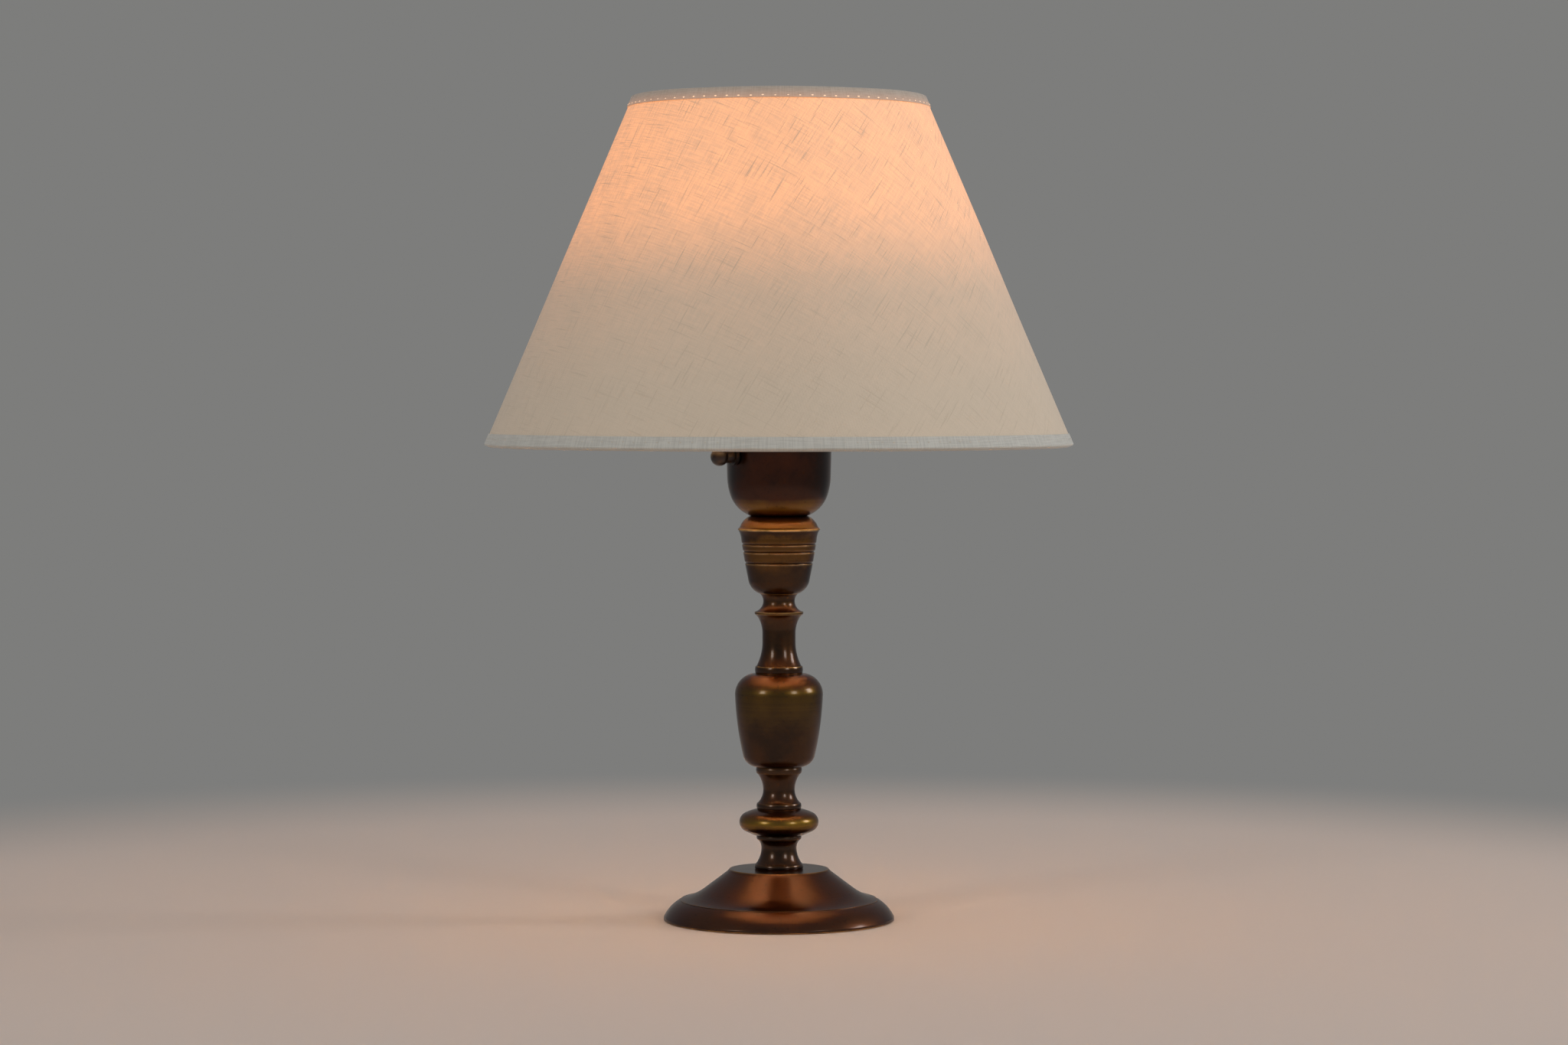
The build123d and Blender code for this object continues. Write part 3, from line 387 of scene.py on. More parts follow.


# The lacquer is dark in hollows. Convex edges are rubbed bright: worn lacquer with a painted highlight
# along them. Surfaces that face up take a painted reflection of the lit shade. Each piece has a band of
# gold tone and painted reflection between two shares of its own height: goldFrom is where the gold comes in
# and goldTo where it goes out.
patinas = {
    "footPatina": {
        "deep": (0.020, 0.007, 0.003), "body": (0.075, 0.024, 0.008), "upper": (0.115, 0.036, 0.012),
        "wornAndGlint": (0.62, 0.34, 0.12), "wearAndGlintGain": 1.0,
        "goldToneAndReflection": (0.130, 0.046, 0.014), "goldFrom": (0.2, 0.5), "goldTo": (0.8, 0.95), "goldShare": 0.6,
        "goldEdge": 0.16,
    },
    "spoolPatina": {
        "deep": (0.016, 0.007, 0.003), "body": (0.060, 0.024, 0.008), "upper": (0.100, 0.034, 0.010),
        "wornAndGlint": (0.45, 0.22, 0.07), "wearAndGlintGain": 0.6,
        "goldToneAndReflection": (0.100, 0.050, 0.010), "goldFrom": (0.2, 0.8), "goldTo": (1.2, 1.4), "goldShare": 0.2,
        "goldEdge": 0.16,
    },
    "neckPatina": {
        "deep": (0.016, 0.007, 0.002), "body": (0.060, 0.021, 0.004), "upper": (0.130, 0.040, 0.010),
        "wornAndGlint": (0.66, 0.38, 0.12), "wearAndGlintGain": 1.0,
        "goldToneAndReflection": (0.120, 0.055, 0.010), "goldFrom": (0.2, 0.8), "goldTo": (1.2, 1.4), "goldShare": 0.2,
        "goldEdge": 0.16,
    },
    "vasePatina": {
        "deep": (0.020, 0.009, 0.003), "body": (0.068, 0.027, 0.006), "upper": (0.150, 0.048, 0.012),
        "wornAndGlint": (0.50, 0.30, 0.09), "wearAndGlintGain": 0.6,
        "goldToneAndReflection": (0.115, 0.062, 0.005), "goldFrom": (0.25, 0.78), "goldTo": (0.84, 0.93), "goldShare": 0.9,
        "goldEdge": 0.16,
    },
    "knopPatina": {
        "deep": (0.030, 0.013, 0.003), "body": (0.140, 0.060, 0.006), "upper": (0.160, 0.055, 0.012),
        "wornAndGlint": (0.50, 0.33, 0.10), "wearAndGlintGain": 0.6,
        "goldToneAndReflection": (0.230, 0.130, 0.010), "goldFrom": (0.12, 0.42), "goldTo": (0.70, 0.90), "goldShare": 1.0,
        "goldEdge": 0.16,
    },
    "cupPatina": {
        "deep": (0.018, 0.008, 0.003), "body": (0.062, 0.024, 0.004), "upper": (0.080, 0.030, 0.008),
        "wornAndGlint": (0.80, 0.50, 0.24), "wearAndGlintGain": 1.0,
        "goldToneAndReflection": (0.190, 0.078, 0.006), "goldFrom": (0.38, 0.60), "goldTo": (0.86, 0.97), "goldShare": 0.85,
        "goldEdge": 0.16,
    },
    "ringPatina": {
        "deep": (0.035, 0.014, 0.004), "body": (0.140, 0.055, 0.014), "upper": (0.170, 0.065, 0.015),
        "wornAndGlint": (0.85, 0.56, 0.18), "wearAndGlintGain": 1.0,
        "goldToneAndReflection": (0.250, 0.125, 0.022), "goldFrom": (-0.2, -0.1), "goldTo": (0.35, 0.6), "goldShare": 1.0,
        "goldEdge": 0.10,
    },
    "holderPatina": {
        "deep": (0.018, 0.006, 0.002), "body": (0.062, 0.016, 0.004), "upper": (0.080, 0.024, 0.006),
        "wornAndGlint": (0.45, 0.26, 0.09), "wearAndGlintGain": 0.6,
        "goldToneAndReflection": (0.300, 0.150, 0.020), "goldFrom": (0.00, 0.06), "goldTo": (0.12, 0.24), "goldShare": 0.9,
        "goldEdge": 0.03,
    },
}
brassGrain = {
    "blotch": 26.0,
    "speck": 420.0,
    "rings": 260.0,  # turning marks, along the outline
    "fineRings": 2400.0,
    "edgePatches": 110.0,
    "roughness": (0.30, 0.40),
    "hollowRoughness": 0.12,
    "hollowShare": 0.75,  # of the deep colour in a hollow
    "speckShare": 0.35,
    "relief": 0.00003,
    "ringRelief": 0.5,
    "fineRingRelief": 0.35,
    "speckRelief": 0.25,
}
lacquer = {
    "Specular_Tint": (0.40, 0.32, 0.26, 1.0),
    "Coat_Weight": 0.85,
    "Coat_Roughness": 0.16,
    "Coat_IOR": 1.38,
}


def makePatina(name, look, grain):
    mat = newMaterial(name)
    tree = mat.node_tree
    place = objectPlace(tree)
    x, y, z = splitPlace(tree, place)
    radius = mathNode(tree, "SQRT", plus(tree, times(tree, x, x), times(tree, y, y)))
    along = plus(tree, z, radius)
    wearAndGlint, cavity, upwardReflection, rise = (
        add(tree, "ShaderNodeAttribute", {"attribute_name": title}).outputs["Fac"]
        for title in ("edgeWearAndGlint", "cavity", "upwardReflection", "rise")
    )
    blotch = noise(tree, place, grain["blotch"], 5.0, 0.6)
    speck = noise(tree, place, grain["speck"], 3.0, 0.6)
    rings = noise(tree, along, grain["rings"], 4.0, 0.7, "1D")
    fineRings = noise(tree, along, grain["fineRings"], 2.0, 0.5, "1D")
    edgePatches = ramp(tree, noise(tree, place, grain["edgePatches"], 4.0), 0.28, 0.62, 0.35, 1.0)

    # band of gold tone and painted reflection of the warm light, between two shares of the piece's height
    level = plus(tree, rise, ramp(tree, blotch, 0.2, 0.8, -look["goldEdge"], look["goldEdge"]))
    goldToneAndReflection = times(tree, ramp(tree, level, *look["goldFrom"]), ramp(tree, level, *look["goldTo"], 1.0, 0.0))
    goldToneAndReflection = times(tree, goldToneAndReflection, ramp(tree, rings, 0.25, 0.75, 0.6 * look["goldShare"], look["goldShare"]))
    colour = mixColour(tree, ramp(tree, blotch, 0.30, 0.68), look["deep"], look["body"])
    colour = mixColour(tree, goldToneAndReflection, colour, look["goldToneAndReflection"])
    # painted reflection of the lit shade: warm copper on surfaces that face up
    shadeReflectionMask = times(tree, upwardReflection, ramp(tree, rings, 0.25, 0.75, 0.7, 1.0))
    colour = mixColour(tree, shadeReflectionMask, colour, look["upper"])
    colour = mixColour(tree, times(tree, cavity, grain["hollowShare"]), colour, look["deep"])
    # convex edges rubbed bright in patches: worn lacquer with a painted highlight along them
    rubbedAndGlint = times(tree, times(tree, wearAndGlint, edgePatches), look["wearAndGlintGain"])
    colour = mixColour(tree, rubbedAndGlint, colour, look["wornAndGlint"])
    colour = mixColour(tree, ramp(tree, speck, 0.58, 0.72, 0.0, grain["speckShare"]), colour, look["deep"])

    shader = principled(mat, Metallic=1.0, **lacquer)
    tree.links.new(colour, shader.inputs["Base Color"])
    rough = ramp(tree, blotch, 0.3, 0.7, *grain["roughness"])
    rough = plus(tree, rough, times(tree, cavity, grain["hollowRoughness"]))
    tree.links.new(rough, shader.inputs["Roughness"])
    relief = times(tree, rings, grain["ringRelief"])
    relief = plus(tree, relief, times(tree, fineRings, grain["fineRingRelief"]))
    relief = plus(tree, relief, times(tree, speck, grain["speckRelief"]))
    tree.links.new(bump(tree, relief, grain["relief"], 0.5), shader.inputs["Normal"])
    return mat


turnedPieces = {
    "foot": ("base_shell", "footPatina"),
    "lowerSpool": ("lower_spool", "spoolPatina"),
    "knop": ("lower_knop", "knopPatina"),
    "middleSpool": ("middle_spool", "spoolPatina"),
    "vase": ("vase_body", "vasePatina"),
    "neck": ("trumpet_neck", "neckPatina"),
    "candleCup": ("candle_cup", "cupPatina"),
    "dripRing": ("drip_ring", "ringPatina"),
    "holderCup": ("socket_cup", "holderPatina"),
}
patinaOf = {name: makePatina(name, look, brassGrain) for name, look in patinas.items()}
brass = {name: turned(name, node) for name, (node, finish) in turnedPieces.items()}
for name, (node, finish) in turnedPieces.items():
    brass[name].data.materials.append(patinaOf[finish])

# the cord's bush sits in the back of the foot, the switch leaves through the cup
holes = {
    "bushClearance": 0.00005,
    "pastBush": 0.004,
    "switchRadius": 0.0036,
    "cupShare": 0.5,  # of the cup's radius, the length of the hole
}


def centreAndSize(node):
    low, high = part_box(node)
    return (low + high) / 2, high - low


bushCentre, bushSize = centreAndSize("cord_bush")
drilled(
    brass["foot"], bushCentre, Vector((0, 1, 0)),
    bushSize.x / 2 + holes["bushClearance"], bushSize.y + holes["pastBush"],
)
knobCentre = centreAndSize("switch_knob")[0]
switchOut = Vector((knobCentre.x, knobCentre.y, 0)).normalized()
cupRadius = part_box("socket_cup")[1].x
drilled(
    brass["holderCup"], switchOut * cupRadius + Vector((0, 0, knobCentre.z)), switchOut,
    holes["switchRadius"], cupRadius * holes["cupShare"],
)
for name, (node, finish) in turnedPieces.items():
    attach(brass[name], "stand")
    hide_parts(node)
print("turned brass made:", len(brass))


# The shade's linen is one cut sheet on a cone. Azimuths run from the front to the right.
shade = {
    "grainTurn": math.radians(-75),  # where the weft lies level
    "seam": math.radians(152),
    "lap": 0.014,
    "lapFade": (0.5, 1.3),  # shares of the lap where the trims come down again
    "lapGap": 0.00012,
    "linen": 0.0005,
    "around": 360,
    "up": 56,
    "unevenness": 0.00025,
    "waves": range(2, 9),
    "waveSeed": 11,
    "rimBand": 0.0011,  # height in which the points of the linen's edges are looked for
}


def coneFacts():
    # radius and height of the linen's lower and upper edge
    low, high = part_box("shade_linen")
    points = [v.co for v in nodes["shade_linen"].data.vertices]
    facts = []
    for edge in (
        [c for c in points if c.z < low.z + shade["rimBand"]],
        [c for c in points if c.z > high.z - shade["rimBand"]],
    ):
        outer = max(edge, key=lambda c: math.hypot(c.x, c.y))
        facts += [math.hypot(outer.x, outer.y), outer.z]
    return facts


bottomR, bottomZ, topR, topZ = coneFacts()
slant = math.hypot(bottomR - topR, topZ - bottomZ)
leanSin = (bottomR - topR) / slant  # of the angle between wall and axis
leanCos = (topZ - bottomZ) / slant
apex = bottomR / leanSin  # distance from the lower edge to the apex, along the wall
wobble = random.Random(shade["waveSeed"])
waves = [(n, wobble.uniform(0, 2 * math.pi), wobble.uniform(0.3, 1.0) / n) for n in shade["waves"]]


def lapLift(azimuth):
    # share of the linen's thickness that the trims stand off, round the seam
    away = (azimuth - shade["seam"] + math.pi) % (2 * math.pi) - math.pi
    reach = shade["lap"] / bottomR
    near, far = shade["lapFade"]
    return 1 - smoothStep(abs(away), reach * near, reach * far)


def wallUnevenness(azimuth, share):
    return shade["unevenness"] * sum(
        a * math.sin(n * azimuth + phase + 1.7 * share * n) for n, phase, a in waves
    )


def onWall(azimuth, distance, off):
    # point at a distance up the slant, off the linen's outer face
    r = bottomR - distance * leanSin + off * leanCos
    z = bottomZ + distance * leanCos + off * leanSin
    return Vector((r * math.sin(azimuth), -r * math.cos(azimuth), z))


def makeLinen():
    around, up = shade["around"], shade["up"]
    lapTurns = 6
    verts, faces, uvs = [], [], []
    for i in range(around + lapTurns + 1):
        azimuth = shade["seam"] + 2 * math.pi * i / around
        over = smoothStep(i, around - 4, around + 1) * (shade["linen"] + shade["lapGap"])
        for j in range(up + 1):
            distance = slant * j / up
            off = wallUnevenness(azimuth, j / up) * math.sin(math.pi * j / up) - shade["linen"] + over
            verts.append(onWall(azimuth, distance, off))
            turn = (azimuth - 2 * math.pi - shade["grainTurn"]) * leanSin  # on the flat sheet
            away = apex - distance
            uvs.append((away * math.sin(turn), -away * math.cos(turn)))
    for i in range(around + lapTurns):
        for j in range(up):
            a = i * (up + 1) + j
            b = a + up + 1
            faces.append((a, b, b + 1, a + 1))
    obj = makePiece("linenCover", verts, faces)
    layer = obj.data.uv_layers.new(name="cloth")
    for loop in obj.data.loops:
        layer.data[loop.index].uv = uvs[loop.vertex_index]
    thick = obj.modifiers.new("thickness", "SOLIDIFY")
    thick.thickness = shade["linen"]
    thick.offset = 1.0
    return obj


linenLook = {
    "thread": (0.71, 0.613, 0.485),
    "slub": (0.52, 0.43, 0.32),
    "pitch": 0.0011,  # of the plain weave
    "lineScales": (55.0, 1250.0),  # along and across the threads
    "slubScales": (34.0, 900.0),
    "cloudScale": 34.0,
    "weftSlubs": (0.63, 0.80),  # the noise levels between which a slub comes up
    "warpSlubs": (0.62, 0.78),
    "slubTint": 0.30,
    "relief": 0.00012,
    "weaveRelief": 0.35,
    "lineRelief": 1.2,
    "slubRelief": 0.8,
    "glow": (1.0, 0.28, 0.03),
    "glowLevel": 0.61,
    "directHeights": (0.365, 0.435),  # between which the bulb's own light comes in
    "directGlow": (0.0, 0.75),
    "spreadHeights": (0.300, 0.410),
    "spreadGlow": (0.03, 0.25),
    "lineGlow": (0.74, 1.20),  # factors of the glow where each noise is low and where it is high
    "slubGlow": (1.0, 0.48),
    "cloudGlow": (0.93, 1.05),
}


def streaks(tree, uv, scales, roughness, warp=False):
    # noise drawn out along the weft, or along the warp
    factors = (*(scales[::-1] if warp else scales), 1.0)
    return noise(tree, scaled(tree, uv, factors), 1.0, 2.0, roughness, "2D")


def makeLinenMaterial(look):
    mat = newMaterial("slubLinen")
    tree = mat.node_tree
    uv = add(tree, "ShaderNodeUVMap", {"uv_map": "cloth"}).outputs["UV"]
    weftLines = streaks(tree, uv, look["lineScales"], 0.6)
    warpLines = streaks(tree, uv, look["lineScales"], 0.6, warp=True)
    weftSlub = ramp(tree, streaks(tree, uv, look["slubScales"], 0.5), *look["weftSlubs"])
    warpSlub = ramp(tree, streaks(tree, uv, look["slubScales"], 0.5, warp=True), *look["warpSlubs"])
    slub = mathNode(tree, "MAXIMUM", times(tree, weftSlub, 0.85), warpSlub)
    cloud = noise(tree, uv, look["cloudScale"], 3.0, 0.55, "2D")
    lines = times(tree, plus(tree, weftLines, warpLines), 0.5)
    u, v = splitPlace(tree, uv)[:2]
    overU = mathNode(tree, "SINE", times(tree, u, math.pi / look["pitch"]))
    overV = mathNode(tree, "SINE", times(tree, v, math.pi / look["pitch"]))

    colour = mixColour(tree, ramp(tree, lines, 0.35, 0.65, 0.12, 0.0), look["thread"], look["slub"])
    colour = mixColour(tree, times(tree, slub, look["slubTint"]), colour, look["slub"])
    shader = principled(
        mat, Roughness=0.85, Sheen_Weight=0.15, Sheen_Roughness=0.4, Specular_IOR_Level=0.2,
    )
    tree.links.new(colour, shader.inputs["Base Color"])

    # the bulb's light comes through: least where the cloth is thick
    height = splitPlace(tree, objectPlace(tree))[2]
    glow = plus(
        tree, ramp(tree, height, *look["directHeights"], *look["directGlow"]),
        ramp(tree, height, *look["spreadHeights"], *look["spreadGlow"]),
    )
    glow = times(tree, glow, ramp(tree, lines, 0.33, 0.67, *look["lineGlow"]))
    glow = times(tree, glow, ramp(tree, slub, 0.0, 1.0, *look["slubGlow"]))
    glow = times(tree, glow, ramp(tree, cloud, 0.3, 0.7, *look["cloudGlow"]))
    glow = times(tree, glow, look["glowLevel"])
    shader.inputs["Emission Color"].default_value = (*look["glow"], 1.0)
    tree.links.new(glow, shader.inputs["Emission Strength"])

    weave = times(tree, times(tree, overU, overV), look["weaveRelief"])
    relief = plus(tree, weave, times(tree, lines, look["lineRelief"]))
    relief = plus(tree, relief, times(tree, slub, look["slubRelief"]))
    tree.links.new(bump(tree, relief, look["relief"], 0.8), shader.inputs["Normal"])
    return mat


linen = makeLinen()
linen.data.materials.append(makeLinenMaterial(linenLook))
print("linen made: slant", round(slant, 4))

# Folded tapes over both edges, turned from the outlines of their CAD nodes
trimLooks = {
    "bottomTape": {"node": "bottom_trim", "tape": (0.61, 0.61, 0.56), "glow": (0.0, 0.01)},
    # The top tape is the same cloth as the bottom one; its darker colour is painted shade.
    "topTape": {"node": "top_trim", "tape": (0.50, 0.47, 0.41), "glow": (0.25, 0.04)},
}
trimShape = {
    "softEdge": 0.00022,
    "step": 0.0012,
    "outerBand": 0.0012,  # depth under the linen's face that still lifts over the lap
    "lapShare": 1.1,
    "wave": 0.00012,
    "waves": 7,
    "wavePhase": 1.3,
}
tapeLook = {"glow": (1.0, 0.32, 0.09), "scales": (60.0, 1500.0), "darkShare": 0.82, "relief": 0.0001}


def makeTapeMaterial(name, trim, look):
    mat = newMaterial(name + "Cloth")
    tree = mat.node_tree
    uv = add(tree, "ShaderNodeUVMap", {"uv_map": "cloth"}).outputs["UV"]
    ribs = streaks(tree, uv, look["scales"], 0.5, warp=True)
    cross = streaks(tree, uv, look["scales"], 0.5)
    lines = times(tree, plus(tree, ribs, cross), 0.5)
    dark = tuple(look["darkShare"] * c for c in trim["tape"])
    shader = principled(
        mat, Roughness=0.8, Sheen_Weight=0.2, Sheen_Roughness=0.4, Specular_IOR_Level=0.2,
    )
    colour = mixColour(tree, ramp(tree, lines, 0.35, 0.65), dark, trim["tape"])
    tree.links.new(colour, shader.inputs["Base Color"])
    low, high = (corner.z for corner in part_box(trim["node"]))
    shader.inputs["Emission Color"].default_value = (*look["glow"], 1.0)
    height = splitPlace(tree, objectPlace(tree))[2]
    tree.links.new(ramp(tree, height, low, high, *trim["glow"]), shader.inputs["Emission Strength"])
    tree.links.new(bump(tree, lines, look["relief"], 0.8), shader.inputs["Normal"])
    return mat


def makeTrim(name, trim, shape):
    points = refined(brokenEdges(cleaned(outlineOf(trim["node"])), shape["softEdge"]), shape["step"])
    around = shade["around"]
    gone = [0.0]
    for i in range(1, len(points) + 1):
        gone.append(gone[-1] + math.dist(points[i - 1], points[i % len(points)]))
    verts = []
    for r, z in points:
        faceR = bottomR - (z - bottomZ) * leanSin / leanCos
        outside = smoothStep(r - faceR, -shape["outerBand"], 0.0)
        for s in range(around):
            azimuth = 2 * math.pi * s / around
            lap = lapLift(azimuth) * shade["linen"] * shape["lapShare"]
            wave = shape["wave"] * math.sin(shape["waves"] * azimuth + shape["wavePhase"])
            off = outside * (lap + wave)
            rr = r + off * leanCos
            verts.append((rr * math.sin(azimuth), -rr * math.cos(azimuth), z + off * leanSin))
    obj = makePiece(name, verts, ringFaces(len(points), around))
    layer = obj.data.uv_layers.new(name="cloth")
    for polygon in obj.data.polygons:
        i, s = divmod(polygon.index, around)
        for k, loop in enumerate(polygon.loop_indices):
            ahead = 1 if k in (1, 2) else 0
            later = 1 if k in (2, 3) else 0
            layer.data[loop].uv = (2 * math.pi * bottomR * (s + ahead) / around, gone[i + later])
    obj.data.materials.append(makeTapeMaterial(name, trim, tapeLook))
    return obj


bottomTape, topTape = (makeTrim(name, trim, trimShape) for name, trim in trimLooks.items())
for piece, node in ((linen, "shade_linen"), (bottomTape, "bottom_trim"), (topTape, "top_trim")):
    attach(piece, "shade")
    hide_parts(node)
print("trims made")

# Rows of short stitches that hold the tapes
stitching = {
    "topStitches": {"node": "top_trim", "rise": 0.0029, "pitch": 0.0071, "glow": 0.9},
    "bottomStitches": {"node": "bottom_trim", "rise": 0.0052, "pitch": 0.0071, "glow": 0.0},
}
stitchShape = {
    "length": 0.0014,
    "width": 0.0007,
    "proud": 0.00013,
    "jitter": (0.0003, 0.0003, 0.00015),
    "seed": 7,
    "edgeBand": 0.002,  # height in which the tape's lower edge is looked for
}
threadLook = {
    "dark": (0.52, 0.48, 0.40),
    "light": (0.70, 0.66, 0.57),
    "glow": (1.0, 0.55, 0.30),
    "twist": 2600.0,
    "relief": 0.00005,
}


def makeThreadMaterial(name, glow, look):
    mat = newMaterial(name + "Thread")
    tree = mat.node_tree
    twist = noise(tree, scaled(tree, objectPlace(tree), (1.0, 1.0, 2.0)), look["twist"], 2.0)
    shader = principled(
        mat, Roughness=0.75, Sheen_Weight=0.3, Specular_IOR_Level=0.2, Emission_Strength=glow,
    )
    tree.links.new(mixColour(tree, twist, look["dark"], look["light"]), shader.inputs["Base Color"])
    shader.inputs["Emission Color"].default_value = (*look["glow"], 1.0)
    tree.links.new(bump(tree, twist, look["relief"]), shader.inputs["Normal"])
    return mat


def stitchTree(material, jitterReach):
    tree = bpy.data.node_groups.new("stitchRing", "GeometryNodeTree")
    for title, kind in (
        ("Count", "NodeSocketInt"), ("Radius", "NodeSocketFloat"), ("Height", "NodeSocketFloat"),
        ("Tilt", "NodeSocketFloat"), ("Size", "NodeSocketVector"), ("Seed", "NodeSocketInt"),
    ):
        tree.interface.new_socket(title, in_out="INPUT", socket_type=kind)
    tree.interface.new_socket("Geometry", in_out="OUTPUT", socket_type="NodeSocketGeometry")
    given = add(tree, "NodeGroupInput").outputs

    # a ring of points, one for each stitch
    circle = add(tree, "GeometryNodeMeshCircle")
    tree.links.new(given["Count"], circle.inputs["Vertices"])
    tree.links.new(given["Radius"], circle.inputs["Radius"])
    lift = add(tree, "ShaderNodeCombineXYZ")
    tree.links.new(given["Height"], lift.inputs["Z"])
    raised = join(tree, circle, add(tree, "GeometryNodeSetPosition"))
    tree.links.new(lift.outputs[0], raised.inputs["Offset"])

    bead = add(tree, "GeometryNodeMeshIcoSphere", Radius=0.5, Subdivisions=2)
    shaped = join(tree, bead, add(tree, "GeometryNodeTransform"))
    tree.links.new(given["Size"], shaped.inputs["Scale"])

    # the stitch's length follows the ring and its thickness stands square to the sloping wall
    x, y = splitPlace(tree, add(tree, "GeometryNodeInputPosition").outputs[0])[:2]
    turn = add(tree, "ShaderNodeCombineXYZ")
    tree.links.new(given["Tilt"], turn.inputs["Y"])
    tree.links.new(mathNode(tree, "ARCTAN2", y, x), turn.inputs["Z"])
    spread = join(tree, raised, add(tree, "GeometryNodeInstanceOnPoints"))
    tree.links.new(shaped.outputs["Geometry"], spread.inputs["Instance"])
    tree.links.new(turn.outputs[0], spread.inputs["Rotation"])

    # each one slips a little along the seam
    jitter = add(tree, "FunctionNodeRandomValue", {"data_type": "FLOAT_VECTOR"})
    jitter.inputs[0].default_value = tuple(-reach for reach in jitterReach)
    jitter.inputs[1].default_value = jitterReach
    tree.links.new(given["Seed"], jitter.inputs["Seed"])
    shift = join(tree, spread, add(tree, "GeometryNodeTranslateInstances"))
    shift.inputs["Local Space"].default_value = True
    tree.links.new(scaled(tree, jitter.outputs[0], (0.0, 1.0, 1.0)), shift.inputs["Translation"])

    real = join(tree, shift, add(tree, "GeometryNodeRealizeInstances"))
    coloured = join(tree, real, add(tree, "GeometryNodeSetMaterial"))
    coloured.inputs["Material"].default_value = material
    join(tree, coloured, add(tree, "NodeGroupOutput"))
    return tree


def makeStitches(name, row, shape):
    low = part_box(row["node"])[0].z
    height = low + row["rise"]
    edge = [v.co for v in nodes[row["node"]].data.vertices if v.co.z <= low + shape["edgeBand"]]
    base = max(edge, key=lambda c: math.hypot(c.x, c.y))
    radius = math.hypot(base.x, base.y) - (height - base.z) * leanSin / leanCos
    obj = bpy.data.objects.new(name, bpy.data.meshes.new(name))
    bpy.context.scene.collection.objects.link(obj)
    modifier = obj.modifiers.new("stitches", "NODES")
    modifier.node_group = stitchTree(makeThreadMaterial(name, row["glow"], threadLook), shape["jitter"])
    values = {
        "Count": round(2 * math.pi * radius / row["pitch"]),
        "Radius": radius,
        "Height": height,
        "Tilt": -math.asin(leanSin),
        "Size": (shape["proud"] * 2, shape["length"], shape["width"]),
        "Seed": shape["seed"],
    }
    for item in modifier.node_group.interface.items_tree:
        if item.in_out == "INPUT":
            modifier[item.identifier] = values[item.name]
    obj.data = bpy.data.meshes.new_from_object(obj.evaluated_get(bpy.context.evaluated_depsgraph_get()))
    obj.modifiers.clear()
    obj.data.polygons.foreach_set("use_smooth", [True] * len(obj.data.polygons))
    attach(obj, "shade")
    print(name, values["Count"], "stitches on radius", round(radius, 4))
    return obj


stitches = [makeStitches(name, row, stitchShape) for name, row in stitching.items()]


# Materials of the pieces that keep their CAD shape
def makePlastic(name, colour, rough, grain=500.0, depth=0.00002, second=None, coat=0.0):
    mat = newMaterial(name)
    tree = mat.node_tree
    place = objectPlace(tree)
    swirl = noise(tree, place, 45.0, 4.0)
    second = second or tuple(0.85 * c for c in colour)
    mixed = mixColour(tree, ramp(tree, swirl, 0.35, 0.65), second, colour)
    shader = principled(mat, Coat_Weight=coat, Coat_Roughness=0.08)
    tree.links.new(mixed, shader.inputs["Base Color"])
    tree.links.new(ramp(tree, swirl, 0.3, 0.7, rough, rough + 0.08), shader.inputs["Roughness"])
    tree.links.new(bump(tree, noise(tree, place, grain), depth, 0.5), shader.inputs["Normal"])
    return mat


def makeMetal(name, colour, rough, grain=900.0, depth=0.000015):
    mat = newMaterial(name)
    tree = mat.node_tree
    place = objectPlace(tree)
    stain = noise(tree, place, 60.0, 4.0)
    mixed = mixColour(tree, ramp(tree, stain, 0.35, 0.65), tuple(0.8 * c for c in colour), colour)
    lay = noise(tree, scaled(tree, place, (1.0, 1.0, 6.0)), grain)
    shader = principled(mat, Metallic=1.0)
    tree.links.new(mixed, shader.inputs["Base Color"])
    tree.links.new(ramp(tree, stain, 0.3, 0.7, rough, rough + 0.12), shader.inputs["Roughness"])
    tree.links.new(bump(tree, lay, depth, 0.5), shader.inputs["Normal"])
    return mat


def makeFelt(name, dark, light):
    mat = newMaterial(name)
    tree = mat.node_tree
    fuzz = noise(tree, objectPlace(tree), 900.0, 6.0, 0.7)
    shader = principled(
        mat, Roughness=0.95, Sheen_Weight=0.5, Sheen_Roughness=0.5, Specular_IOR_Level=0.1,
    )
    tree.links.new(mixColour(tree, fuzz, dark, light), shader.inputs["Base Color"])
    tree.links.new(bump(tree, fuzz, 0.0003), shader.inputs["Normal"])
    return mat


def makeGlowing(name, colour, glow, heights, strength, rough=0.4):
    # opal or white sheet that passes the bulb's light, from nothing to full between two heights
    mat = newMaterial(name)
    tree = mat.node_tree
    place = objectPlace(tree)
    height = splitPlace(tree, place)[2]
    cloud = ramp(tree, noise(tree, place, 30.0, 3.0), 0.3, 0.7)
    shader = principled(mat, Roughness=rough)
    dim = tuple(0.93 * c for c in colour)
    tree.links.new(mixColour(tree, cloud, dim, colour), shader.inputs["Base Color"])
    shader.inputs["Emission Color"].default_value = (*glow, 1.0)
    tree.links.new(ramp(tree, height, *heights, 0.0, strength), shader.inputs["Emission Strength"])
    tree.links.new(bump(tree, noise(tree, place, 700.0), 0.00002, 0.4), shader.inputs["Normal"])
    return mat


